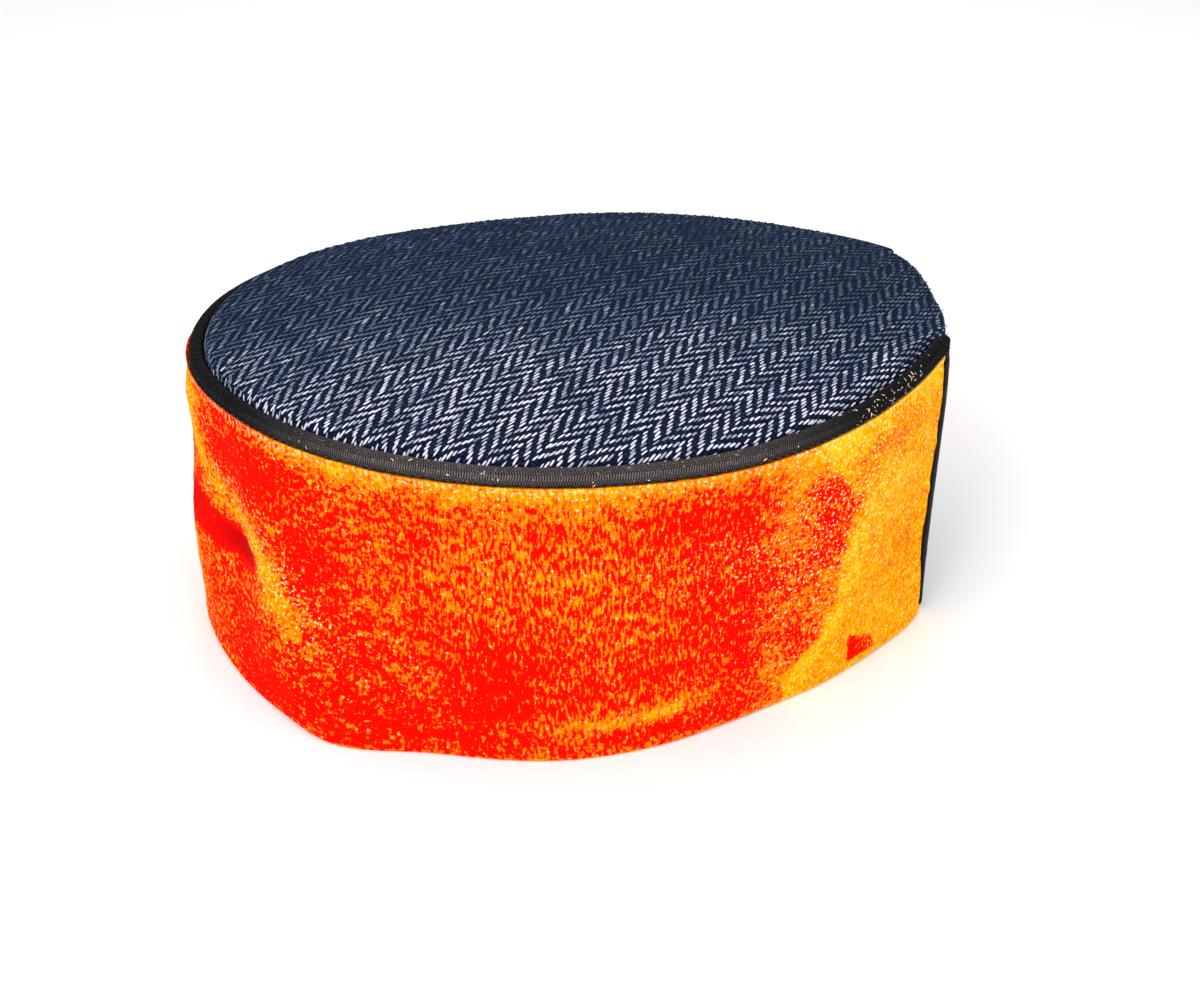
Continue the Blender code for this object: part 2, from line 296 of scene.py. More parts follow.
@dataclass
class Skin:
    """A closed cloth wall: rings of points, each ring once round the wall's own profile."""

    name: str
    rings: np.ndarray
    cloth: np.ndarray
    closed: bool
    marks: dict[str, np.ndarray]
    laddered: bool = False

    def build(self) -> bpy.types.Object:
        """Join the rings into one closed body with its flat cloth coordinates and its marks.

        Returns:
            The piece, linked to the scene, with its normals outwards.
        """
        count, around = self.rings.shape[:2]
        steps = count if self.closed else count - 1
        first = np.arange(steps)[:, None] * around
        second = (np.arange(steps)[:, None] + 1) % count * around
        here = np.arange(around)[None, :]
        beyond = (here + 1) % around
        quads = np.stack((first + here, first + beyond, second + beyond, second + here), axis=-1)
        faces = quads.reshape(-1, 4).tolist()
        if not self.closed:
            faces += [face[::-1] for face in self._end_faces(0)]
            faces += [[(count - 1) * around + i for i in face] for face in self._end_faces(count - 1)]
        mesh = bpy.data.meshes.new(self.name)
        mesh.from_pydata(self.rings.reshape(-1, 3).tolist(), [], faces)
        for label, values in self.marks.items():
            data = mesh.attributes.new(label, "FLOAT", "POINT")
            data.data.foreach_set("value", np.ascontiguousarray(values, np.float32).ravel())
        self._lay_flat(mesh, steps, around)
        self._face_outwards(mesh)
        mesh.shade_smooth()
        mesh.set_sharp_from_angle(angle=math.radians(60))
        return link(self.name, mesh)

    def _end_faces(self, ring: int) -> list[list[int]]:
        """Close one end with a single face, or with rungs up both sides of a tall profile.

        Args:
            ring: the end's ring.

        Returns:
            The faces, as lists of places in the ring.
        """
        low, high = 0, self.rings.shape[1] - 1
        if not self.laddered:
            return [list(range(high + 1))]
        heights = self.rings[ring, :, 2]
        faces = []
        while high - low > 1:
            near = heights[low + 1] <= heights[high - 1]
            middle = low + 1 if near else high - 1
            faces.append([low, middle, high])
            low, high = (middle, high) if near else (low, middle)
        return faces

    def _lay_flat(self, mesh: bpy.types.Mesh, steps: int, around: int) -> None:
        """Give every corner its place on the flat cloth, in metres. The last ring may repeat the first.

        Args:
            mesh: the shell's mesh.
            steps: how many gaps between rings are faced.
            around: how many points a ring has.
        """
        rows = self.cloth.shape[0]
        column = np.minimum(np.arange(steps)[:, None] + np.array([0, 0, 1, 1]), rows - 1)
        corner = (np.arange(around)[:, None] + np.array([0, 1, 1, 0])) % around
        places = self.cloth[column[:, None, :], corner[None, :, :]]
        flat = np.zeros((len(mesh.loops), 2), np.float32)
        flat[:steps * around * 4] = places.reshape(-1, 2)
        mesh.uv_layers.new(name="cloth").data.foreach_set("uv", flat.ravel())

    def _face_outwards(self, mesh: bpy.types.Mesh) -> None:
        """Turn the whole shell if it is inside out.

        Args:
            mesh: the shell's mesh.
        """
        shell = bmesh.new()
        shell.from_mesh(mesh)
        if shell.calc_volume(signed=True) < 0:
            bmesh.ops.reverse_faces(shell, faces=shell.faces)
            shell.to_mesh(mesh)
        shell.free()


def link(name: str, mesh: bpy.types.Mesh) -> bpy.types.Object:
    """Put a mesh in the scene under a name.

    Args:
        name: the name of the object and its mesh.
        mesh: the mesh.

    Returns:
        The new object.
    """
    piece = bpy.data.objects.new(name, mesh)
    mesh.name = name
    bpy.context.scene.collection.objects.link(piece)
    return piece


def dress(piece: bpy.types.Object, material: bpy.types.Material) -> bpy.types.Object:
    """Give a piece its finish and let it go with the cap.

    Args:
        piece: the finished piece.
        material: its finish.

    Returns:
        The same piece.
    """
    piece.data.materials.clear()
    piece.data.materials.append(material)
    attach(piece, "root")
    piece.data.calc_loop_triangles()
    LOG.info("%s: %d triangles", piece.name, len(piece.data.loop_triangles))
    return piece


class Graph:
    """Adds nodes to a shader tree or a geometry tree."""

    def __init__(self, tree: bpy.types.NodeTree) -> None:
        """Work on one tree."""
        self.tree = tree

    def node(self, kind: str, settings: dict | None = None, inputs: dict | None = None) -> bpy.types.Node:
        """Add one node.

        Args:
            kind: the node's type.
            settings: its properties, set first. "stops" fills a colour ramp with (place, colour) pairs.
            inputs: a value, socket or signal for each input, by name or by number.

        Returns:
            The node.
        """
        node = self.tree.nodes.new(kind)
        for name, value in (settings or {}).items():
            if name == "stops":
                self._fill_ramp(node.color_ramp, value)
            else:
                setattr(node, name, value)
        for name, value in (inputs or {}).items():
            self.feed(self.socket(node.inputs, name), value)
        return node

    def signal(self, kind: str, settings: dict | None = None, inputs: dict | None = None,
               output: str = "") -> "Signal":
        """Add one node and give one of its outputs as a signal.

        Args:
            kind: the node's type.
            settings: its properties.
            inputs: its inputs.
            output: the output's name. Without it, the first output in use.

        Returns:
            The output, ready for arithmetic.
        """
        outputs = [socket for socket in self.node(kind, settings, inputs).outputs if socket.enabled]
        return Signal(self, next(socket for socket in outputs if output in ("", socket.name)))

    def socket(self, sockets: Sequence, name: str | int) -> bpy.types.NodeSocket:
        """The socket in use that has a name or a number."""
        if isinstance(name, int):
            return sockets[name]
        return next(socket for socket in sockets if socket.name == name and socket.enabled)

    def feed(self, socket: bpy.types.NodeSocket, value: object) -> None:
        """Link a signal or a socket to an input, or set the input's own value.

        Args:
            socket: the input.
            value: the signal, socket or plain value.
        """
        if isinstance(value, Signal):
            value = value.socket
        if isinstance(value, bpy.types.NodeSocket):
            self.tree.links.new(value, socket)
        else:
            socket.default_value = value

    def parts(self, vector: object) -> list["Signal"]:
        """The X, Y and Z of a vector."""
        node = self.node("ShaderNodeSeparateXYZ", inputs={"Vector": vector})
        return [Signal(self, output) for output in node.outputs]

    def _fill_ramp(self, ramp: bpy.types.ColorRamp, stops: Sequence) -> None:
        """Give a colour ramp its stops.

        Args:
            ramp: the colour ramp.
            stops: pairs of a place and a colour.
        """
        while len(ramp.elements) < len(stops):
            ramp.elements.new(1.0)
        for element, (place, colour) in zip(ramp.elements, stops):
            element.position = place
            element.color = (*colour, 1.0)


class Signal:
    """One output socket, with arithmetic that adds Math nodes."""

    def __init__(self, graph: Graph, socket: bpy.types.NodeSocket) -> None:
        """Wrap a socket."""
        self.graph = graph
        self.socket = socket

    def math(self, operation: str, *inputs: object) -> "Signal":
        """The result of one Math node."""
        return self.graph.signal("ShaderNodeMath", {"operation": operation}, dict(enumerate(inputs)))

    def __add__(self, other: object) -> "Signal":
        """Sum."""
        return self.math("ADD", self, other)

    __radd__ = __add__

    def __sub__(self, other: object) -> "Signal":
        """Difference."""
        return self.math("SUBTRACT", self, other)

    def __rsub__(self, other: object) -> "Signal":
        """Difference from a number."""
        return self.math("SUBTRACT", other, self)

    def __mul__(self, other: object) -> "Signal":
        """Product."""
        return self.math("MULTIPLY", self, other)

    __rmul__ = __mul__

    def __truediv__(self, other: object) -> "Signal":
        """Quotient."""
        return self.math("DIVIDE", self, other)

    def __mod__(self, other: object) -> "Signal":
        """Remainder, never negative."""
        return self.math("FLOORED_MODULO", self, other)

    def __pow__(self, other: object) -> "Signal":
        """Power."""
        return self.math("POWER", self, other)

    def __lt__(self, other: object) -> "Signal":
        """1 where it is less than the other, otherwise 0."""
        return self.math("LESS_THAN", self, other)

    def floor(self) -> "Signal":
        """The whole number below."""
        return self.math("FLOOR", self)

    def size(self) -> "Signal":
        """Without its sign."""
        return self.math("ABSOLUTE", self)

    def rise(self, low: float, high: float) -> "Signal":
        """0 below low, 1 above high, smooth between."""
        ends = {"From Min": low, "From Max": high, "Value": self}
        return self.graph.signal("ShaderNodeMapRange", {"interpolation_type": "SMOOTHSTEP"}, ends)


class Finish:
    """A material in the making: a Principled shader and the signals that feed it."""

    def __init__(self, name: str, roughness: float, sheen: float, sheen_tint: tuple[float, float, float],
                 sheen_roughness: float = 0.4, specular: float = 0.3) -> None:
        """Start a material.

        Args:
            name: the material's name.
            roughness: how matt it is.
            sheen: how much fine fibre stands on it.
            sheen_tint: the fibres' colour.
            sheen_roughness: how widely the fibres scatter.
            specular: how much it mirrors.
        """
        self.material = bpy.data.materials.new(name)
        self.material.use_nodes = True
        self.graph = Graph(self.material.node_tree)
        self.shader = self.material.node_tree.nodes["Principled BSDF"]
        self.shader.inputs["Roughness"].default_value = roughness
        self.shader.inputs["Sheen Weight"].default_value = sheen
        self.shader.inputs["Sheen Tint"].default_value = (*sheen_tint, 1.0)
        self.shader.inputs["Sheen Roughness"].default_value = sheen_roughness
        self.shader.inputs["Specular IOR Level"].default_value = specular

    def mark(self, name: str) -> Signal:
        """A number that the mesh carries at each of its points."""
        return self.graph.signal("ShaderNodeAttribute", {"attribute_name": name}, output="Fac")

    def cloth(self) -> Signal:
        """The place on the flat cloth, in metres."""
        return self.graph.signal("ShaderNodeUVMap", {"uv_map": "cloth"})

    def object_place(self) -> Signal:
        """The place in the piece's own frame, in metres."""
        return self.graph.signal("ShaderNodeTexCoord", output="Object")

    def stretched(self, place: Signal, along: tuple[float, float, float], turn: float = 0.0) -> Signal:
        """A place whose axes are scaled, after a turn about Z in degrees."""
        return self.graph.signal("ShaderNodeMapping", inputs={
            "Vector": place, "Rotation": (0.0, 0.0, math.radians(turn)), "Scale": along})

    def noise(self, place: Signal, length: float, detail: float = 2.0, rough: float = 0.5) -> Signal:
        """Noise from 0 to 1 about 0.5, with features of a length in metres."""
        return self.graph.signal("ShaderNodeTexNoise", inputs={
            "Vector": place, "Scale": 1.0 / length, "Detail": detail, "Roughness": rough}, output="Fac")

    def ramp(self, value: Signal, stops: Sequence) -> Signal:
        """A colour from a value."""
        return self.graph.signal("ShaderNodeValToRGB", {"stops": stops}, {"Fac": value})

    def blend(self, amount: Signal, low: object, high: object) -> Signal:
        """A colour between two colours, either of them a signal or three plain numbers."""
        low, high = ((*end, 1.0) if isinstance(end, tuple) else end for end in (low, high))
        return self.graph.signal("ShaderNodeMix", {"data_type": "RGBA"},
                                 {0: amount, "A": low, "B": high}, output="Result")

    def scaled(self, colour: Signal, factor: Signal) -> Signal:
        """A colour made darker or lighter."""
        return self.graph.signal("ShaderNodeVectorMath", {"operation": "SCALE"}, {0: colour, "Scale": factor})

    def seam_dots(self, pitch: float) -> Signal:
        """1 at every stitch's pitch along the cloth, 0 between."""
        along = self.graph.parts(self.cloth())[0]
        return 1.0 - ((along / pitch) % 1.0 - 0.5).size().rise(0.12, 0.30)

    def colour(self, colour: Signal) -> None:
        """Feed the base colour."""
        self.graph.feed(self.shader.inputs["Base Color"], colour)

    def roughness(self, value: Signal) -> None:
        """Feed the roughness."""
        self.graph.feed(self.shader.inputs["Roughness"], value)

    def bump(self, height: Signal, distance: float, strength: float = 1.0) -> None:
        """Feed the normal from a height from 0 to 1 that stands for a distance in metres."""
        bump = self.graph.node("ShaderNodeBump", inputs={
            "Height": height, "Distance": distance, "Strength": strength})
        self.graph.feed(self.shader.inputs["Normal"], bump.outputs["Normal"])


@dataclass(frozen=True)
class Weave:
    """Herringbone twill, over two and under two, that turns back after every six ends."""

    ends_per_mm: float = 1.32
    picks_per_mm: float = 0.845
    ends_per_stripe: int = 6
    picks_per_repeat: int = 4
    float_picks: float = 2.0
    turn: float = 39.0
    reversal_step: int = 13


@dataclass(frozen=True)
class TweedFinish:
    """The cloth under the floats: dark ground yarn with painted shade between the yarns and under the floats,
    and on its wrong side the weave itself.
    """

    # gap is painted shade: the colour between the yarns and under the floats.
    gap: tuple[float, float, float] = (0.0010, 0.0018, 0.005)
    ground: tuple[float, float, float] = (0.022, 0.042, 0.105)
    wrong_side: tuple[float, float, float] = (0.16, 0.18, 0.25)
    weave: Weave = Weave()

    def material(self, name: str, turn: float) -> bpy.types.Material:
        """Make the material.

        Args:
            name: its name.
            turn: how far the warp is turned from the cloth's own length, in degrees.

        Returns:
            The material.
        """
        finish = Finish(name, 0.95, 0.02, (0.30, 0.38, 0.60), 0.5, 0.02)
        yarns = finish.stretched(finish.cloth(), (1.0, 1.0, 1.0), -turn)
        x, y, _ = finish.graph.parts(yarns)
        end, pick = x * (self.weave.ends_per_mm / MM), y * (self.weave.picks_per_mm / MM)
        across = ((end % 1.0) - 0.5).size() * 2.0
        between = ((pick % 1.0) - 0.5).size() * 2.0
        repeat = 2 * self.weave.ends_per_stripe
        place = end.floor() % repeat
        turned = place < self.weave.ends_per_stripe
        lean = place * turned + (self.weave.reversal_step - place) * (1.0 - turned)
        phase = (pick - lean) % self.weave.picks_per_repeat
        over = (phase < self.weave.float_picks) * (1.0 - across ** 3.0)
        under = 1.0 - (phase < self.weave.float_picks)
        fuzz = finish.noise(finish.object_place(), 0.0006, 3.0, 0.6)
        cloudy = finish.noise(finish.object_place(), 0.012, 3.0)
        # Painted shade: the ground darkens towards each yarn's edges and where a float lies over it.
        rounded = (1.0 - between ** 2.0) * (1.0 - across ** 2.0)
        yarn = (over * 0.35 + under * rounded) * (fuzz.rise(0.30, 0.72) * 1.1 + 0.15)
        ground = finish.blend(yarn, self.gap, self.ground)
        inner = finish.blend(over * (cloudy * 0.8 + fuzz * 0.5), self.ground, self.wrong_side)
        finish.colour(finish.blend(finish.mark("outside"), inner, ground))
        finish.bump(yarn, 0.00025, 0.8)
        return finish.material


@dataclass(frozen=True)
class FloatFinish:
    """The pale floats of the warp, each with its own random shade and the painted light of the cloth under
    it, twisted and a little fluffy.
    """

    dull: tuple[float, float, float] = (0.010, 0.024, 0.056)
    middle: tuple[float, float, float] = (0.15, 0.195, 0.29)
    bright: tuple[float, float, float] = (0.74, 0.72, 0.83)

    def material(self) -> bpy.types.Material:
        """Make the material.

        Returns:
            The finished material.
        """
        finish = Finish("tweed_floats", 0.95, 0.04, (0.60, 0.70, 1.0), 0.5, 0.04)
        fibre = finish.noise(finish.object_place(), 0.00035, 3.0, 0.65)
        shade = finish.mark("shade") + (fibre - 0.5) * 0.45
        finish.colour(finish.ramp(shade, ((0.0, self.dull), (0.45, self.middle), (0.95, self.bright))))
        finish.bump(fibre, 0.00012, 0.7)
        return finish.material


@dataclass(frozen=True)
class VelvetFinish:
    """Crushed velvet: the lie of the pile turns it from red through orange to amber; painted shade darkens it
    to dark red in the left hollow and between the tufts, and painted glints speckle the pile's tips.
    """

    painted_hollow_shade: tuple[float, float, float] = (0.52, 0.000, 0.001)
    red: tuple[float, float, float] = (0.96, 0.003, 0.000)
    orange: tuple[float, float, float] = (0.96, 0.125, 0.000)
    light_orange: tuple[float, float, float] = (0.96, 0.210, 0.002)
    ochre: tuple[float, float, float] = (0.90, 0.230, 0.000)
    amber: tuple[float, float, float] = (0.96, 0.350, 0.000)
    yellow: tuple[float, float, float] = (0.98, 0.560, 0.010)
    pale: tuple[float, float, float] = (1.00, 0.870, 0.500)
    grain_length: float = 0.0012
    clump_length: float = 0.0040
    clump_weight: float = 1.00
    grain_weight: float = 2.9
    grain_fade: float = 1.9
    shade_weight: float = 0.8
    sparkle_gain: float = 0.038
    stitch_pitch: float = 0.0017

    def material(self) -> bpy.types.Material:
        """Make the material.

        Returns:
            The finished material.
        """
        finish = Finish("crushed_velvet", 0.9, 0.08, (1.0, 0.18, 0.0), 0.3, 0.02)
        place = finish.cloth()
        grain = finish.noise(place, self.grain_length, 2.5, 0.6)
        streak = finish.noise(finish.stretched(place, (1.7, 0.5, 1.0)), self.grain_length, 2.0, 0.6)
        clump = finish.noise(place, self.clump_length, 4.0, 0.65)
        tuft = finish.noise(finish.stretched(place, (1.0, 0.6, 1.0), 20.0), self.grain_length * 0.5, 1.0)
        speck = finish.noise(place, self.grain_length * 0.65, 1.0, 0.5)
        streaky = finish.mark("streak")
        base = finish.mark("tone")
        fine = grain * (1.0 - streaky) + streak * streaky
        # deep marks the painted shade of the left hollow; it also lowers the tone.
        deep = finish.mark("deep")
        grain_share = self.grain_weight - base * self.grain_fade
        mottle = (clump - 0.5) * self.clump_weight + (fine - 0.5) * grain_share
        tone = base + mottle - deep * self.shade_weight
        crushed = finish.ramp(tone, (
            (0.00, self.red), (0.46, self.red), (0.52, self.orange),
            (0.70, self.light_orange), (0.88, self.amber)))
        upright = finish.ramp(tone, (
            (0.15, self.red), (0.38, self.orange), (0.56, self.ochre),
            (0.76, self.amber), (1.0, self.yellow)))
        colour = finish.blend(base.rise(0.56, 0.74), crushed, upright)
        colour = finish.blend(tuft.rise(0.56, 0.70) * tone.rise(0.65, 1.0) * 0.7, colour, self.yellow)
        # Painted glints: pale specks on the pile's tips, thickest where the sparkle mark is high.
        bright = finish.mark("sparkle")
        glint = (speck + bright * self.sparkle_gain).rise(0.650, 0.70)
        glint = glint * (tone + bright * 0.40).rise(0.30, 0.80)
        colour = finish.blend(glint * 0.85, colour, self.pale)
        # Painted shade: the left hollow, marked deep, is darkened to dark red.
        colour = finish.blend(deep.rise(0.30, 0.90), colour, self.painted_hollow_shade)
        # Painted glints: pale dots at each stitch along the seam, where the pressed pile shines.
        dots = finish.seam_dots(self.stitch_pitch) * finish.mark("seam") * grain.rise(0.40, 0.62) * 0.7
        colour = finish.blend(dots, colour, self.pale)
        # Painted shade: the colour darkens in the pits between the tufts.
        finish.colour(finish.scaled(colour, tuft * 0.60 + 0.62))
        finish.bump(fine + tuft * 0.5, 0.0006, 0.8)
        return finish.material


@dataclass(frozen=True)
class BindingFinish:
    """Black ribbed binding: painted light greys the ribs' crests, painted shade leaves the grooves near
    black, and a painted grey sheen lies on its front.
    """

    groove_shade: tuple[float, float, float] = (0.0008, 0.0008, 0.0010)
    crest: tuple[float, float, float] = (0.009, 0.009, 0.011)
    sheen_grey: tuple[float, float, float] = (0.170, 0.142, 0.138)
    fleck: tuple[float, float, float] = (0.42, 0.38, 0.36)

    def material(self) -> bpy.types.Material:
        """Make the material.

        Returns:
            The finished material.
        """
        finish = Finish("black_binding", 0.7, 0.0, (0.6, 0.6, 0.62), 0.4, 0.10)
        place = finish.object_place()
        fibre = finish.noise(place, 0.0004, 3.0, 0.6)
        # Painted sheen: a lighter grey laid where light falls on the binding's front, with pale flecks
        # thicker there.
        sheen_amount = finish.mark("worn") * (0.55 + finish.noise(place, 0.006, 3.0, 0.6) * 0.9)
        crest = (finish.mark("crest") ** 3.0) * (0.4 + fibre * 1.2)
        speck = finish.noise(place, 0.0005, 1.0).rise(0.68, 0.74)
        # Painted light and shade: the ribs' crests are painted lighter than the grooves.
        colour = finish.blend(crest, self.groove_shade, self.crest)
        colour = finish.blend(sheen_amount * crest, colour, self.sheen_grey)
        finish.colour(finish.blend(speck * (sheen_amount * 0.5 + 0.12), colour, self.fleck))
        finish.roughness(0.60 + fibre * 0.3)
        finish.bump(fibre, 0.0001, 0.5)
        return finish.material


@dataclass(frozen=True)
class ThreadFinish:
    """A plain sewing or lint thread whose shade may vary from strand to strand."""

    name: str
    dark: tuple[float, float, float]
    light: tuple[float, float, float]

    def material(self) -> bpy.types.Material:
        """Make the material.

        Returns:
            The finished material.
        """
        finish = Finish(self.name, 0.6, 0.3, self.light, 0.4, 0.3)
        twist = finish.noise(finish.object_place(), 0.0003, 2.0)
        shade = finish.mark("shade") + (twist - 0.5) * 0.6
        finish.colour(finish.ramp(shade, ((0.0, self.dark), (1.0, self.light))))
        finish.bump(twist, 0.0001, 0.6)
        return finish.material


class Recipe:
    """A Geometry Nodes tree with named inputs, made into a plain mesh."""

    def __init__(self, name: str) -> None:
        """Start an empty tree.

        Args:
            name: the tree's name.
        """
        self.tree = bpy.data.node_groups.new(name, "GeometryNodeTree")
        self.tree.interface.new_socket(name="Geometry", in_out="INPUT", socket_type="NodeSocketGeometry")
        self.tree.interface.new_socket(name="Geometry", in_out="OUTPUT", socket_type="NodeSocketGeometry")
        self.graph = Graph(self.tree)
        self.start = self.tree.nodes.new("NodeGroupInput")
        self.identifiers: dict[str, str] = {}

    def ask(self, name: str, kind: str = "Float") -> Signal:
        """Add a named input, such as a size, and give it as a signal."""
        socket = self.tree.interface.new_socket(name=name, in_out="INPUT", socket_type=f"NodeSocket{kind}")
        self.identifiers[name] = socket.identifier
        return Signal(self.graph, self.start.outputs[name])

    def geometry(self) -> Signal:
        """The base piece's own geometry."""
        return Signal(self.graph, self.start.outputs["Geometry"])

    def attribute(self, name: str, kind: str = "FLOAT") -> Signal:
        """An attribute of the geometry."""
        return self.graph.signal("GeometryNodeInputNamedAttribute", {"data_type": kind}, {"Name": name})

    def vector(self, operation: str, *inputs: object, output: str = "Vector") -> Signal:
        """The result of one Vector Math node."""
        return self.graph.signal("ShaderNodeVectorMath", {"operation": operation},
                                 dict(enumerate(inputs)), output)

    def scaled(self, vector: object, factor: object) -> Signal:
        """A vector times a number."""
        return self.graph.signal("ShaderNodeVectorMath", {"operation": "SCALE"},
                                 {0: vector, "Scale": factor}, "Vector")

    def combined(self, x: object, y: object, z: object) -> Signal:
        """A vector from its parts."""
        return self.graph.signal("ShaderNodeCombineXYZ", inputs={"X": x, "Y": y, "Z": z})

    def stored(self, geometry: Signal, name: str, value: Signal, kind: str = "FLOAT") -> Signal:
        """The geometry with a value kept at each of its points."""
        return self.graph.signal("GeometryNodeStoreNamedAttribute", {"data_type": kind, "domain": "POINT"}, {
            "Geometry": geometry, "Name": name, "Value": value})

    def random(self, low: float, high: float, seed: Signal, lane: int) -> Signal:
        """A random number for each point, from a seed and a lane of its own."""
        return self.graph.signal("FunctionNodeRandomValue", {"data_type": "FLOAT"},
                                 {"Min": low, "Max": high, "Seed": seed + lane})

    def over(self, value: Signal, limit: float) -> Signal:
        """Whether a value is over a limit."""
        return self.graph.signal("FunctionNodeCompare", {"operation": "GREATER_THAN"}, {0: value, 1: limit})

    def turned(self, vector: object, angle: Signal) -> Signal:
        """A vector turned about Z."""
        return self.graph.signal("ShaderNodeVectorRotate", {"rotation_type": "Z_AXIS"},
                                 {"Vector": vector, "Angle": angle})

    def beads(self, points: Signal, rotation: Signal, size: Signal, segments: int, rings: int) -> Signal:
        """Put a stretched bead at each point.

        Args:
            points: where the beads lie.
            rotation: how each is turned.
            size: each bead's size along its own axes.
            segments: the bead's sides.
            rings: the bead's steps from end to end.

        Returns:
            The beads, not yet realised.
        """
        bead = self.graph.signal("GeometryNodeMeshUVSphere", inputs={
            "Segments": segments, "Rings": rings, "Radius": 0.5})
        return self.graph.signal("GeometryNodeInstanceOnPoints", inputs={
            "Points": points, "Instance": bead, "Rotation": rotation, "Scale": size})

    def finish(self, instances: object, material: Signal) -> None:
        """End the tree: smooth, realised and with its material.

        Args:
            instances: the geometry, with or without instances.
            material: the material's input.
        """
        real = self.graph.signal("GeometryNodeRealizeInstances", inputs={0: instances})
        smooth = self.graph.signal("GeometryNodeSetShadeSmooth", inputs={0: real})
        done = self.graph.signal("GeometryNodeSetMaterial", inputs={"Geometry": smooth, "Material": material})
        self.graph.node("NodeGroupOutput", inputs={"Geometry": done})

    def make(self, name: str, base: bpy.types.Object, values: dict[str, object]) -> bpy.types.Object:
        """Run the tree on a base piece and keep the result as a plain piece.

        Args:
            name: the new piece's name.
            base: what the tree starts from. It is removed afterwards.
            values: a value for each named input.

        Returns:
            The new piece.
        """
        modifier = base.modifiers.new(self.tree.name, "NODES")
        modifier.node_group = self.tree
        for label, value in values.items():
            modifier[self.identifiers[label]] = value
        depsgraph = bpy.context.evaluated_depsgraph_get()
        mesh = bpy.data.meshes.new_from_object(base.evaluated_get(depsgraph), preserve_all_data_layers=True,
                                               depsgraph=depsgraph)
        base.modifiers.remove(modifier)
        bpy.data.objects.remove(base, do_unlink=True)
        return link(name, mesh)


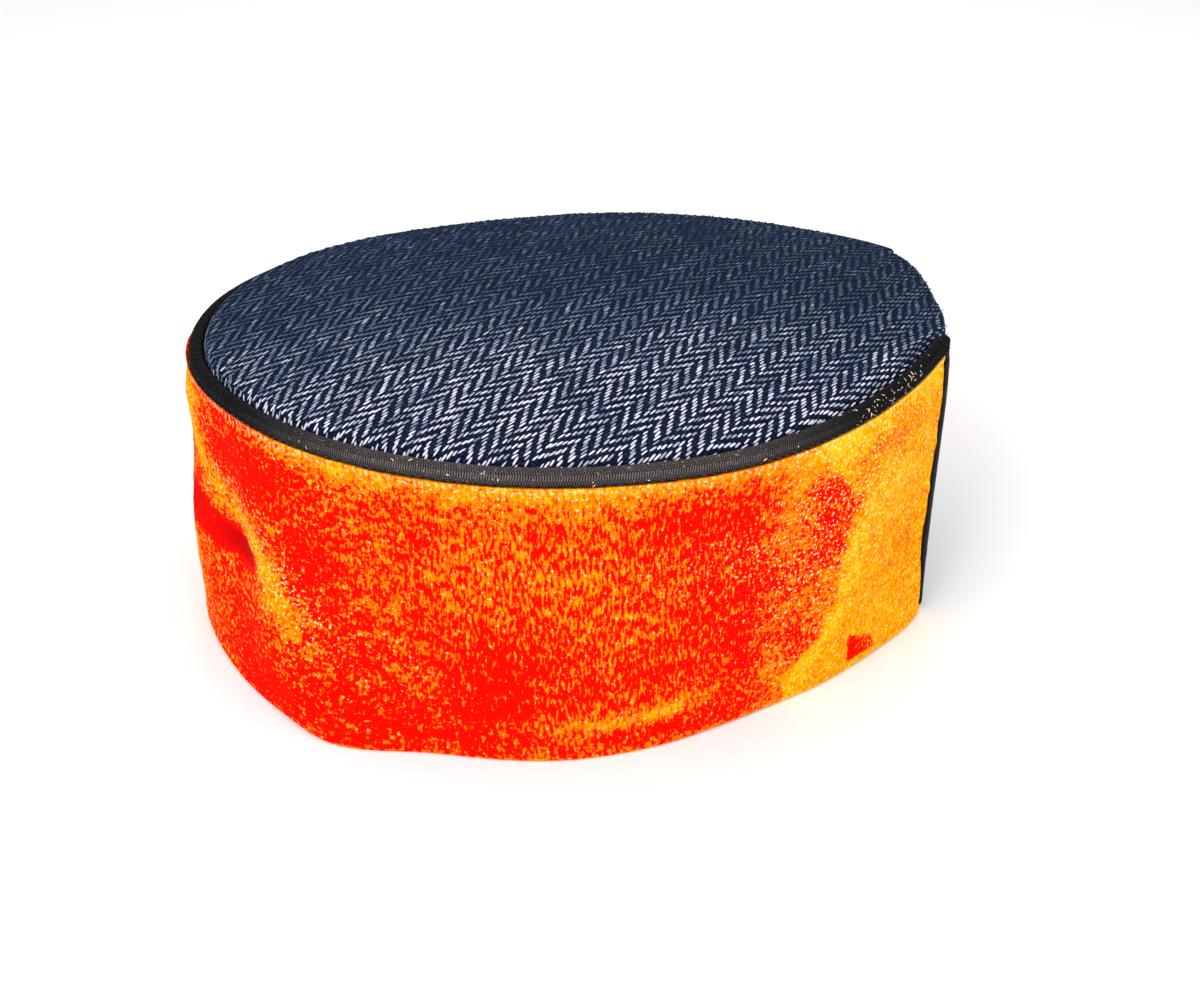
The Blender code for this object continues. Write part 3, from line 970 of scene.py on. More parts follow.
class WovenFloats(Recipe):
    """Lays one raised float on the cloth for every place where the warp passes over two picks."""

    outside_mark = 0.5
    step_ahead = 0.0005
    wander_scale = 55.0
    slip_across = 0.00008
    slip_along = 0.00020
    twist = 0.14
    bright_share = 0.10

    def __init__(self) -> None:
        """Build the tree: a point for every float, laid on the cloth, given its shade and made a bead."""
        super().__init__("woven_floats")
        self.weave = Weave()
        cloth = self.ask("Cloth", "Object")
        self.ends = self.ask("Ends per metre")
        self.picks = self.ask("Picks per metre")
        self.span = self.ask("Span")
        self.turn = self.ask("Warp turn")
        middle = self.ask("Middle", "Vector")
        length = self.ask("Float length")
        width = self.ask("Float width")
        height = self.ask("Float height")
        drift = self.ask("Drift")
        self.seed = self.ask("Seed", "Int")
        lowest = self.ask("Lowest")
        material = self.ask("Yarn", "Material")
        self.columns = (self.span * self.ends).floor()
        flat = self.vector("ADD", self.turned(self._woven(drift), self.turn), middle)
        kept = self.stored(self._spaced(), "laid", flat, "FLOAT_VECTOR")
        moved = self._on_cloth(kept, cloth, lowest)
        size = self.combined(height * self._chance(0.8, 1.2, 5), width * self._chance(0.72, 1.22, 6),
                             length * self._chance(0.80, 1.20, 7))
        self.finish(self.beads(moved, self._rotation(), size, segments=6, rings=3), material)

    def _spaced(self) -> Signal:
        """One point for each end and each repeat of picks.

        Returns:
            The points on the flat cloth.
        """
        repeat = self.weave.picks_per_repeat
        rows = (self.span * self.picks / repeat).floor()
        grid = self.graph.signal("GeometryNodeMeshGrid", inputs={
            "Size X": (self.columns - 1) / self.ends, "Size Y": (rows - 1) * repeat / self.picks,
            "Vertices X": self.columns, "Vertices Y": rows}, output="Mesh")
        return self.graph.signal("GeometryNodeMeshToPoints", inputs={"Mesh": grid})

    def _woven(self, drift: Signal) -> Signal:
        """Each float's place on the cloth before the warp is turned: it leans with its stripe and wanders.

        Args:
            drift: how far the weave wanders, in metres.

        Returns:
            The place on the flat cloth.
        """
        weave = self.weave
        x, y, _ = self.graph.parts(self.graph.signal("GeometryNodeInputPosition"))
        end = (x * self.ends + self.columns * 0.5).floor()
        place = end % (2 * weave.ends_per_stripe)
        forward = place < weave.ends_per_stripe
        lean = (place * forward + (weave.reversal_step - place) * (1.0 - forward)) % weave.picks_per_repeat
        shifted = self.combined(x, y + lean / self.picks, 0.0)
        wander = self.graph.signal("ShaderNodeTexNoise", inputs={
            "Vector": shifted, "Scale": self.wander_scale, "Detail": 2.0}, output="Color")
        drifted = self.vector("MULTIPLY_ADD", self.vector("SUBTRACT", wander, (0.5, 0.5, 0.5)),
                              self.combined(drift, drift, 0.0), shifted)
        slip = self.combined(self._chance(-self.slip_across, self.slip_across, 1),
                             self._chance(-self.slip_along, self.slip_along, 2), 0.0)
        return self.vector("ADD", drifted, slip)

    def _on_cloth(self, points: Signal, cloth: Signal, lowest: Signal) -> Signal:
        """Move the points onto the cloth's outer face and keep what each float needs there.

        Args:
            points: the points, with their places on the flat cloth.
            cloth: the cloth's object.
            lowest: the height under which no float is kept.

        Returns:
            The points on the cloth, with the warp's way, the way up and the float's shade.
        """
        laid = self.attribute("laid", "FLOAT_VECTOR")
        ahead = self.turned((0.0, self.step_ahead, 0.0), self.turn)
        geometry = self.graph.signal("GeometryNodeObjectInfo", {"transform_space": "ORIGINAL"},
                                     {"Object": cloth}, "Geometry")
        outer = self.over(self.attribute("outside"), self.outside_mark)
        face = self.graph.signal("GeometryNodeSeparateGeometry", {"domain": "FACE"}, {
            "Geometry": geometry, "Selection": outer}, "Selection")
        spot = self.graph.signal("GeometryNodeInputPosition")
        here = self._sample(face, laid, spot)
        valid = Signal(self.graph, here.socket.node.outputs["Is Valid"])
        there = self._sample(face, self.vector("ADD", laid, ahead), spot)
        normal = self._sample(face, laid, self.graph.signal("GeometryNodeInputNormal"))
        kept = self.stored(points, "here", here, "FLOAT_VECTOR")
        kept = self.stored(kept, "warp", self.vector("SUBTRACT", there, here), "FLOAT_VECTOR")
        kept = self.stored(kept, "upright", normal, "FLOAT_VECTOR")
        light = self._sample(face, laid, self.attribute("light"), "FLOAT")
        kept = self.stored(kept, "shade", self._shade(light))
        height = self.graph.parts(self.attribute("here", "FLOAT_VECTOR"))[2]
        above = height.math("GREATER_THAN", height, lowest)
        kept = self.graph.signal("GeometryNodeSeparateGeometry", {"domain": "POINT"}, {
            "Geometry": kept, "Selection": above * valid}, "Selection")
        return self.graph.signal("GeometryNodeSetPosition", inputs={
            "Geometry": kept, "Position": self.attribute("here", "FLOAT_VECTOR")})

    def _shade(self, light: Signal) -> Signal:
        """A float's shade: its own random tone, made paler by the painted light marked on the cloth. A few
        floats are much paler.
        """
        rare = 1.0 - (self._chance(0.0, 1.0, 8) < 1.0 - self.bright_share)
        return light * 0.74 + self._chance(0.0, 1.0, 3) * (light * 0.9 + 0.14) + rare * 0.22

    def _rotation(self) -> Signal:
        """Each float's turn: along the warp, flat on the cloth, with a slight twist of its own.

        Returns:
            The rotation of each float.
        """
        axes = {"primary_axis": "Z", "secondary_axis": "X"}
        rotation = self.graph.signal("FunctionNodeAxesToRotation", axes, {
            "Primary Axis": self.attribute("warp", "FLOAT_VECTOR"),
            "Secondary Axis": self.attribute("upright", "FLOAT_VECTOR")})
        twist = self.graph.signal("FunctionNodeEulerToRotation", inputs={
            "Euler": self.combined(self._chance(-self.twist, self.twist, 4), 0.0, 0.0)})
        return self.graph.signal("FunctionNodeRotateRotation", {"rotation_space": "LOCAL"}, {
            "Rotation": rotation, "Rotate By": twist})

    def _chance(self, low: float, high: float, lane: int) -> Signal:
        """A random number for each float."""
        return self.random(low, high, self.seed, lane)

    def _sample(self, mesh: Signal, flat: Signal, value: Signal, kind: str = "FLOAT_VECTOR") -> Signal:
        """A value of the cloth's surface at a place on the flat cloth."""
        laid_out = self.attribute("cloth", "FLOAT_VECTOR")
        return self.graph.signal("GeometryNodeSampleUVSurface", {"data_type": kind}, {
            "Mesh": mesh, "Value": value, "UV Map": laid_out, "Sample UV": flat})


class RaisedRibs(Recipe):
    """Raises fine ribs across a strip, and marks their crests for the finish."""

    def __init__(self) -> None:
        """Build the tree."""
        super().__init__("raised_ribs")
        spacing = self.ask("Spacing")
        depth = self.ask("Depth")
        lean = self.ask("Lean")
        material = self.ask("Cloth", "Material")
        phase = (self.attribute("along") + self.attribute("across") * lean) / spacing
        wave = phase.math("SINE", phase * math.pi).size()
        drop = (1.0 - wave) * self.attribute("ribbed")
        normal = self.graph.signal("GeometryNodeInputNormal")
        sunk = self.graph.signal("GeometryNodeSetPosition", inputs={
            "Geometry": self.geometry(), "Offset": self.scaled(normal, drop * depth * -1.0)})
        self.finish(self.stored(sunk, "crest", wave), material)


class StitchRow(Recipe):
    """Sews a row of stitches along a path of edges."""

    def __init__(self) -> None:
        """Build the tree."""
        super().__init__("stitch_row")
        pitch = self.ask("Pitch")
        length = self.ask("Stitch length")
        thickness = self.ask("Thread")
        seed = self.ask("Seed", "Int")
        material = self.ask("Thread colour", "Material")
        curve = self.graph.signal("GeometryNodeMeshToCurve", inputs={"Mesh": self.geometry()})
        spaced = self.graph.signal("GeometryNodeResampleCurve", {"mode": "LENGTH"}, {
            "Curve": curve, "Length": pitch})
        rotation = self.graph.signal("FunctionNodeAlignRotationToVector", {"axis": "Z"}, {
            "Vector": self.graph.signal("GeometryNodeInputTangent")})
        marked = self.stored(spaced, "shade", self.random(0.2, 0.9, seed, 1))
        size = self.combined(thickness, thickness, length * self.random(0.9, 1.1, seed, 2))
        self.finish(self.beads(marked, rotation, size, segments=6, rings=4), material)


class LintScatter(Recipe):
    """Drops short bright fibres on the part of a piece that is marked for them."""

    def __init__(self) -> None:
        """Build the tree."""
        super().__init__("lint_scatter")
        density = self.ask("Density")
        length = self.ask("Length")
        thickness = self.ask("Thickness")
        seed = self.ask("Seed", "Int")
        material = self.ask("Fibre", "Material")
        where = self.over(self.attribute("lint"), 0.01)
        spread = self.graph.node("GeometryNodeDistributePointsOnFaces", {"distribute_method": "RANDOM"}, {
            "Mesh": self.geometry(), "Selection": where,
            "Density": density * self.attribute("lint"), "Seed": seed})
        marked = self.stored(spread.outputs["Points"], "shade", self.random(0.0, 1.0, seed, 1))
        spin = self.graph.signal("FunctionNodeEulerToRotation", inputs={
            "Euler": self.combined(math.pi / 2, 0.0, self.random(0.0, 3.14, seed, 2))})
        rotation = self.graph.signal("FunctionNodeRotateRotation", {"rotation_space": "LOCAL"}, {
            "Rotation": spread.outputs["Rotation"], "Rotate By": spin})
        size = self.combined(thickness, thickness, length * self.random(0.4, 1.5, seed, 3))
        self.finish(self.beads(marked, rotation, size, segments=5, rings=4), material)


@dataclass
class CrownTop:
    """The domed crown of herringbone tweed, rolled over at its edge, with its raised floats."""

    columns: int = 240
    dome_rings: int = 46
    inner_rings: int = 12
    roll_steps: int = 9
    first_ring: float = 0.012
    pucker: float = 0.10
    float_width: float = 0.00062
    float_height: float = 0.00044
    float_stretch: float = 1.04
    lit_bearing: float = -7.0
    edge_light: float = 0.24
    lit_places: tuple[float, ...] = (-90.0, -50.0, -5.0, 15.0, 40.0, 60.0)
    lit_amounts: tuple[float, ...] = (-0.02, 0.00, 0.07, 0.20, 0.48, 0.59)
    rim_lifts: tuple[Fold, ...] = (Fold("back left puff", 225, 78, 1.2, 26, ANY_HEIGHT),)
    tucks: tuple[Fold, ...] = (Fold("near end tuck", 76, 0, 0.7, 17, ANY_HEIGHT),)

    def profile(self, bearing: np.ndarray) -> tuple[np.ndarray, np.ndarray, np.ndarray, np.ndarray]:
        """The crown's profile from its pole out, round the roll and back underneath.

        Args:
            bearing: the columns' bearings.

        Returns:
            Radius, height, distance along the cloth and the side mark of each point, column by column.
        """
        form = FORM
        edge = (form.radius(bearing, Edge.CROWN) - together(self.tucks, bearing, 0.0))[:, None]
        flat = edge - form.roll_radius
        parts = np.linspace(self.first_ring, 1.0, self.dome_rings)[None, :]
        drop = form.dome_rise * (1 - parts**form.dome_power)
        outer_r, outer_h = parts * flat, form.rim_height + drop + 0 * flat
        turn = np.linspace(0.0, math.pi / 2, self.roll_steps)[None, 1:]
        roll_h = form.rim_height - form.roll_radius
        ring_r = flat + form.roll_radius * np.sin(turn)
        ring_h = roll_h + form.roll_radius * np.cos(turn) + 0 * flat
        inner = form.roll_radius - form.top_thickness
        back_r = flat + inner * np.sin(turn[:, ::-1])
        back_h = roll_h + inner * np.cos(turn[:, ::-1]) + 0 * flat
        under = np.linspace(1.0, self.first_ring, self.inner_rings)[None, :]
        under_r = under * flat
        dome_h = form.rim_height + form.dome_rise * (1 - under**form.dome_power)
        under_h = dome_h - form.top_thickness + 0 * flat
        radius = np.hstack((outer_r, ring_r, back_r, under_r))
        height = np.hstack((outer_h, ring_h, back_h, under_h))
        along = np.hstack((outer_r, flat + form.roll_radius * turn, flat + inner * turn[:, ::-1], under_r))
        outside = np.zeros_like(radius)
        outside[:, :self.dome_rings + self.roll_steps - 1] = 1.0
        return radius, height, along, outside

    def build(self) -> list[bpy.types.Object]:
        """Make the crown's cloth and its floats.

        Returns:
            The cloth, then the floats.
        """
        form = FORM
        bearing = np.linspace(0.0, 360.0, self.columns, endpoint=False)
        radius, height, along, outside = self.profile(bearing)
        turns = bearing[:, None] + 0 * radius
        points = form.polar(turns, radius, height)
        from_edge = form.radius(bearing, Edge.CROWN)[:, None] - radius
        near_edge = smooth_step(10.0, 2.0, from_edge)
        points[..., 2] += outside * near_edge * self.pucker * MM * ripple(points, 0.006, 3.0)
        points[..., 2] += outside * (1 - near_edge) * 0.22 * MM * ripple(points, 0.03, 5.0)
        angle = np.radians(turns)
        cloth = np.stack((along * np.cos(angle), along * np.sin(angle)), axis=-1) * MM
        cloth = np.concatenate((cloth, cloth[:1]))
        # Painted light: the floats are paler toward the lit front (lit_bearing), and edge_light brightens
        # them on the front roll, where the binding would leave them in shade.
        toward = np.cos(angle - math.radians(self.lit_bearing)) * radius
        light = np.interp(toward, self.lit_places, self.lit_amounts)
        light = light + (0.05 + 0.18 * light) * (ripple(points, 0.02, 9.0) + 1.2 * ripple(points, 0.007, 2.0))
        light = light + self.edge_light * smooth_step(3.5, 0.5, from_edge) * smooth_step(20.0, 60.0, toward)
        lift = together(self.rim_lifts, turns, height)
        risen = np.clip((height - (form.rim_height - form.roll_radius)) / form.roll_radius, 0.0, 1.0)
        points[..., 2] += lift * risen * smooth_step(0.45, 1.0, radius / np.max(radius, axis=1)[:, None]) * MM
        cloth_piece = Skin("crown_cloth", points, cloth, True, {"outside": outside, "light": light}).build()
        self._close_poles(cloth_piece)
        floats = self._floats(cloth_piece)
        dress(cloth_piece, TweedFinish().material("tweed_crown", Weave().turn))
        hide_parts("crown_top")
        return [cloth_piece, floats]

    def _close_poles(self, piece: bpy.types.Object) -> None:
        """Replace the tube that is left round the axis by a closed pole on each face of the cloth.

        Args:
            piece: the crown's cloth.
        """
        mesh = bmesh.new()
        mesh.from_mesh(piece.data)
        pole = FORM.pole()
        limit = self.first_ring * 100.0 * MM * 1.05
        shaft = [face for face in mesh.faces
                 if all(math.hypot(v.co.x - pole.x, v.co.y - pole.y) < limit for v in face.verts)
                 and max(v.co.z for v in face.verts) - min(v.co.z for v in face.verts) > 0.5 * MM]
        bmesh.ops.delete(mesh, geom=shaft, context="FACES_ONLY")
        rims = [edge for edge in mesh.edges if edge.is_boundary]
        bmesh.ops.holes_fill(mesh, edges=rims, sides=0)
        bmesh.ops.recalc_face_normals(mesh, faces=[f for f in mesh.faces if len(f.verts) > 4])
        centre = [face for face in mesh.faces if len(face.verts) > 4]
        upper = (FORM.rim_height + FORM.dome_rise - 1.0) * MM
        for face in centre:
            want = 1.0 if face.calc_center_median().z > upper else -1.0
            if face.normal.z * want < 0:
                face.normal_flip()
        bmesh.ops.poke(mesh, faces=centre)
        mesh.to_mesh(piece.data)
        mesh.free()

    def _floats(self, cloth: bpy.types.Object) -> bpy.types.Object:
        """Weave the floats over the crown.

        Args:
            cloth: the crown's cloth.

        Returns:
            The floats as one piece.
        """
        weave = Weave()
        base = link("crown_floats_base", bpy.data.meshes.new("crown_floats_base"))
        material = FloatFinish().material()
        floats = WovenFloats().make("crown_floats", base, {
            "Cloth": cloth, "Ends per metre": weave.ends_per_mm / MM,
            "Picks per metre": weave.picks_per_mm / MM, "Span": 0.224,
            "Warp turn": math.radians(weave.turn), "Middle": (0.0, 0.0, 0.0),
            "Float length": self.float_stretch * weave.float_picks / weave.picks_per_mm * MM,
            "Float width": self.float_width, "Float height": self.float_height,
            "Drift": 0.0022, "Seed": 11, "Lowest": 0.0, "Yarn": material})
        return dress(floats, material)


@dataclass
class SideBand:
    """The tweed wall that carries the crown, with floats where the flap leaves it open."""

    columns: int = 360
    rows: int = 26
    sag: float = 0.25

    def build(self) -> list[bpy.types.Object]:
        """Make the wall and the floats of its open part.

        Returns:
            The wall, then the floats.
        """
        form = FORM
        top = form.rim_height - form.roll_radius - form.seam_gap
        bearing = np.linspace(-90.0, 270.0, self.columns, endpoint=False)
        heights = np.linspace(0.0, top, self.rows)
        height = np.concatenate((heights, heights[::-1]))[None, :] + 0 * bearing[:, None]
        outside = np.concatenate((np.ones(self.rows), np.zeros(self.rows)))[None, :] + 0 * bearing[:, None]
        turns = bearing[:, None] + 0 * height
        offset = (outside - 1.0) * form.side_thickness
        free = smooth_step(4.0, 20.0, height) * (1 - smooth_step(60.0, 70.0, height))
        offset = offset - free * self.sag * (1 + ripple(unrolled(turns, height), 14.0, 2.0)) * 0.5
        points = form.wall(turns, height, offset)
        middle = form.side_face(turns, np.full_like(turns, form.rim_height / 2))
        arc = np.zeros(self.columns + 1)
        arc[1:] = np.cumsum(np.radians(360.0 / self.columns) * middle[:, 0])
        cloth = np.stack((arc[:, None] + 0 * height[:1], height[:1] + 0 * arc[:, None]), axis=-1) * MM
        light = 0.34 + 0.05 * ripple(points, 0.02, 4.0)
        wall = Skin("side_cloth", points, cloth, True, {"outside": outside, "light": light}).build()
        floats = self._floats(wall, bearing, arc)
        dress(wall, TweedFinish().material("tweed_side", 0.0))
        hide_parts("crown_side")
        return [wall, floats]

    def _floats(self, wall: bpy.types.Object, bearing: np.ndarray, arc: np.ndarray) -> bpy.types.Object:
        """Weave the floats over the open part of the wall, and a little under the flap's ends.

        Args:
            wall: the side band's cloth.
            bearing: the wall's bearings.
            arc: the distance round the wall at each bearing.

        Returns:
            The floats as one piece.
        """
        form, weave = FORM, Weave()
        middle = np.interp((form.flap_end - 360.0 + form.flap_start) / 2, bearing, arc[:-1])
        base = link("side_floats_base", bpy.data.meshes.new("side_floats_base"))
        material = bpy.data.materials["tweed_floats"]
        floats = WovenFloats().make("side_floats", base, {
            "Cloth": wall, "Ends per metre": weave.ends_per_mm / MM,
            "Picks per metre": weave.picks_per_mm / MM, "Span": 0.078,
            "Warp turn": 0.0, "Middle": (middle * MM, 0.037, 0.0),
            "Float length": 1.04 * weave.float_picks / weave.picks_per_mm * MM,
            "Float width": 0.00062, "Float height": 0.00050,
            "Drift": 0.0022, "Seed": 23, "Lowest": 0.0013, "Yarn": material})
        return dress(floats, material)


@dataclass
class VelvetFlap:
    """The turned-up flap of crushed velvet: rolled at its hem, swollen under its binding."""

    face_rows: int = 92
    lip_rows: int = 7
    column_length: float = 0.78
    hem_radius: float = 1.3
    face_top: float = 71.5
    raw_edge: float = 76.05
    seam_height: float = 72.6
    inset: float = 1.45
    corner: float = 2.75
    pressed_half: float = 0.75
    base_tone: float = 0.475
    swells: tuple[Fold, ...] = (
        Fold("left end puff", 262, 72, 0.8, 8, 6),
        Fold("left middle swell", 272, 30, 2.2, 6, 13),
        Fold("under the binding", 325, 69, 0.5, 60, 4),
    )
    hem_lifts: tuple[Fold, ...] = (
        Fold("left hem lift", 279, 0, 1.7, 7, 5),
        Fold("front left hem lift", 305, 0, 1.2, 4, 4),
        Fold("right hem lift", 378, 0, 0.3, 9, 5),
        Fold("near end hem lift", 410, 0, 0.3, 7, 5),
    )
    lips: tuple[Fold, ...] = (
        Fold("left lip", 264, 74, 1.4, 11, ANY_HEIGHT),
        Fold("left lip tail", 288, 74, 0.45, 12, ANY_HEIGHT),
    )
    patches: tuple[Fold, ...] = (
        Fold("left upper red", -67, 64, -0.26, 8, 6.0),
        Fold("left upper edge red", -74, 60, -0.20, 4, 4),
        Fold("left slanted red", -69, 55, -0.14, 3, 5),
        Fold("left edge amber", -89, 66, 0.22, 6, 7),
        Fold("left low edge amber", -91, 26, 0.14, 5, 10),
        Fold("left middle red", -54, 43, -0.24, 4, 7),
        Fold("lower centre red", -46, 28, -0.12, 6, 6),
        Fold("under the hollow", -90, 18, 0.21, 6, 12),
        Fold("left low orange", -77, 20, 0.03, 7, 8),
        Fold("left low red", -67, 14, -0.20, 5, 12, -0.3),
        Fold("left low red streak", -82, 25, -0.12, 2, 10, -0.3),
        Fold("left hem red", -60, 8, -0.18, 7, 6),
        Fold("hem red", -40, 8, -0.16, 10, 8),
        Fold("middle red", -32, 34, -0.08, 5, 4),
        Fold("low middle red", -24, 21, -0.18, 5, 10),
        Fold("low front red", -14, 20, -0.08, 10, 7),
        Fold("front orange", -24, 56, 0.04, 14, 9),
        Fold("front upper red", -14, 58, -0.05, 6, 4),
        Fold("front low red", 4, 22, -0.07, 12, 8),
        Fold("right upper red", 6, 61, -0.16, 5, 4),
        Fold("right upper red dot", 17, 58, -0.18, 3, 7),
        Fold("right red", 11, 44, -0.12, 4, 7),
        Fold("right middle red", 21, 41, -0.14, 4, 2.5),
        Fold("right low red", 16.5, 22, -0.18, 2.5, 15),
        Fold("right low orange", 23, 11, 0.12, 3.5, 8),
        Fold("right upper orange", 24, 57, 0.08, 4, 5),
        Fold("right pale spots", 16, 48, 0.10, 3, 2),
        Fold("ridge red", 37, 54, -0.13, 3.5, 7, 0.2),
        Fold("ridge red top", 32, 61, -0.17, 3, 3),
        Fold("ridge low red", 27.5, 20, -0.12, 2.5, 4),
        Fold("right pale", 30, 66, 0.20, 5, 3.5),
        Fold("hem stripe", -6, 9.5, 0.20, 8, 1.8),
        Fold("hem stripe end", 4, 11.5, 0.16, 4, 2.4),
        Fold("hem band", 3, 5.5, -0.20, 12, 1.8),
        Fold("near end ochre", 52, 26, -0.03, 9, 14),
        Fold("near end red fleck", 53, 65, -0.17, 4, 5),
        Fold("near end orange fleck", 43, 64, -0.10, 3, 3),
        Fold("ridge low orange", 31, 24, 0.09, 4, 9),
        Fold("ridge pale gap", 27, 54, 0.10, 2.5, 9, 0.1),
        Fold("near end yellow", 48, 52, 0.08, 7, 9),
        Fold("near end line", 57.2, 30, -0.06, 0.6, 12, 0.03),
    )
    ridge_bearings: tuple[float, ...] = (-92.0, -86.0, -80.0, -75.0, -70.0, -66.0, -62.0, -58.0, -54.0, -50.0)
    ridge_heights: tuple[float, ...] = (66.0, 58.0, 49.5, 46.0, 43.5, 42.5, 37.0, 31.0, 26.5, 23.0)
    hollow_bearings: tuple[float, ...] = (-110.0, -105.0, -100.0, -95.0, -90.0, -86.0, -81.0, -66.0)
    hollow_heights: tuple[float, ...] = (6.0, 12.0, 18.0, 25.5, 32.5, 39.0, 36.8, 36.5)
    hollow_halves: tuple[float, ...] = (8.0, 8.0, 8.0, 7.5, 7.0, 7.5, 5.2, 3.8)
    streaks: tuple[Fold, ...] = (Fold("brushed front", -8, 40, 1.0, 30, 34),)
    glitters: tuple[Fold, ...] = (
        Fold("right ridge glitter", 34, 46, 1.0, 9, 20, 0.2),
        Fold("near end glitter", 48, 58, 0.9, 12, 14),
        Fold("left ridge glitter", -64, 40, 1.0, 7, 12, -0.9),
        Fold("top edge glitter", 5, 74, 0.7, 60, 3),
        Fold("middle glitter", 14, 48, 0.6, 8, 6),
    )
    amber_heights: tuple[float, ...] = (
        3.0, 8.0, 12.0, 18.0, 25.0, 35.0, 45.0, 50.0, 55.0, 60.0, 65.0, 70.0)
    amber_bearings: tuple[float, ...] = (
        26.0, 27.0, 30.0, 34.0, 36.0, 37.5, 39.5, 40.5, 39.5, 36.5, 33.5, 33.0)
    mark_left: float = 41.0
    mark_right: float = 48.6
    mark_low: float = 3.0
    mark_high: float = 11.5
    mark_strength: float = 0.62
    hem_corner_reach: float = 8.0

    def columns(self) -> tuple[np.ndarray, np.ndarray, np.ndarray]:
        """Where the flap's columns stand.

        Returns:
            Bearings, distances from the nearer end and heights of the raw edge, for each column.
        """
        form = FORM
        near_end = np.concatenate((np.linspace(self.inset, 4.0, 6), np.linspace(4.1, 6.5, 13), (7.2,)))
        into_start = form.degrees_along(1.0, form.flap_start)
        into_end = form.degrees_along(1.0, form.flap_end)
        start = form.flap_start + near_end * into_start
        end = (form.flap_end - near_end * into_end)[::-1]
        count = int((end[0] - start[-1]) / form.degrees_along(self.column_length, 0.0))
        middle = np.linspace(start[-1], end[0], count + 2)[1:-1]
        bearing = np.concatenate((start, middle, end))
        distance = np.minimum((bearing - form.flap_start) / into_start, (form.flap_end - bearing) / into_end)
        into_corner = np.clip(self.corner - (distance - self.inset), 0.0, self.corner)
        raw_edge = self.raw_edge - (self.corner - np.sqrt(self.corner**2 - into_corner**2))
        return bearing, distance, raw_edge

    def profile(self, bearing: np.ndarray, distance: np.ndarray,
                raw_edge: np.ndarray) -> tuple[np.ndarray, ...]:
        """The flap's profile: up its outer face, over the lip, into the binding and down its back.

        Args:
            bearing: the columns' bearings.
            distance: each column's distance from the nearer end.
            raw_edge: the height of each column's raw edge.

        Returns:
            Offsets from the side band, heights, and how freely the pile stands at each point.
        """
        form = FORM
        one = np.ones_like(bearing)[:, None]
        hem = np.radians(np.array((90.0, 65.0, 42.0, 20.0)))[None, :]
        hem_off = one * (form.flap_half - self.hem_radius * (1 - np.cos(hem)))
        hem_h = one * (self.hem_radius * (1 - np.sin(hem)))
        face_h = one * np.linspace(self.hem_radius, self.face_top, self.face_rows)[None, :]
        lip = together(self.lips, bearing, 74.0)[:, None]
        puffed = self.swell(bearing[:, None], np.full_like(lip, self.face_top))
        t = np.linspace(0.0, 1.0, self.lip_rows + 1)[None, 1:]
        corners_off = (form.flap_half + puffed, 1.5 + puffed + 0.3 * lip, 2.05 + 0.9 * lip, 1.98 + 0 * lip)
        corners_h = (self.face_top + 0 * lip, 72.7 + 1.2 * lip, 73.5 + 2.1 * lip, 73.33 + 0 * lip)
        weights = ((1 - t)**3, 3 * t * (1 - t)**2, 3 * t**2 * (1 - t), t**3)
        lip_off = sum(weight * corner for weight, corner in zip(weights, corners_off))
        lip_h = sum(weight * corner for weight, corner in zip(weights, corners_h))
        edge = raw_edge[:, None]
        slot_off = one * np.array((0.85, 0.75, 0.75, 0.4, -0.4, -0.75, -0.75))[None, :]
        slot_h = np.hstack((73.25 * one, 74.0 * one, edge - 0.3, edge, edge, edge - 0.3, 73.0 * one))
        back_h = one * np.array((70.5, 60.0, 48.0, 36.0, 24.0, 12.0, 2.0, 0.6))[None, :]
        back_off = one * np.array((-1.2, -1.2, -1.2, -1.2, -1.2, -1.2, -1.2, -0.9))[None, :]
        offset = np.hstack((hem_off, one * form.flap_half + 0 * face_h, lip_off, slot_off, back_off))
        height = np.hstack((hem_h, face_h, lip_h, slot_h, back_h))
        free = np.zeros_like(offset)
        outer = hem_off.shape[1] + self.face_rows
        free[:, :outer] = 1.0
        free[:, outer:outer + self.lip_rows] = 1 - t
        ragged = np.stack((0 * height + 3.0, height), axis=-1)
        distance = distance[:, None] + 0.45 * ripple(ragged, 2.4, 21.0)
        distance = distance + 0.25 * ripple(ragged, 0.9, 5.0) + 0.2
        bare = free * (1 - smooth_step(2.6, 3.8, height))
        held = np.maximum(smooth_step(4.02, 4.6, distance), bare)
        roll = held * (1 - smooth_step(4.7, 7.0, distance)) * (1 - bare)
        slot_half = np.where(offset > 0, np.minimum(offset, self.pressed_half), offset)
        slot_half = np.clip(slot_half, -self.pressed_half, self.pressed_half)
        offset = slot_half + (offset + 0.45 * roll * free - slot_half) * held
        return offset, height, free * held

    def swell(self, bearing: np.ndarray, height: np.ndarray) -> np.ndarray:
        """How far the velvet swells beyond the wall behind it."""
        return together(self.swells, bearing, height)

    def tone(self, turns: np.ndarray, height: np.ndarray) -> np.ndarray:
        """How the pile lies, with a painted highlight along the left ridge: 0 is dark red, 0.5 between red
        and orange, 1 pale.

        Args:
            turns: bearings.
            height: heights.

        Returns:
            The tone at each place.
        """
        view, places = signed(turns), unrolled(turns, height)
        total = self.base_tone + together(self.patches, view, height)
        total = total + self._amber_end(view, height, places) + self._lit_ridge(view, height)
        total = total - self._low_mark(view, height)
        total = total + 0.20 * smooth_step(65.0, 73.0, height) * smooth_step(-78.0, -60.0, view)
        total = total + 0.14 * smooth_step(2.0, 0.5, height)
        far = smooth_step(100.0, 120.0, np.abs(view))
        clouds = ripple(places, 22.0, 7.0) + 0.5 * ripple(places, 9.0, 17.0)
        return total + (0.06 + 0.26 * far) * clouds

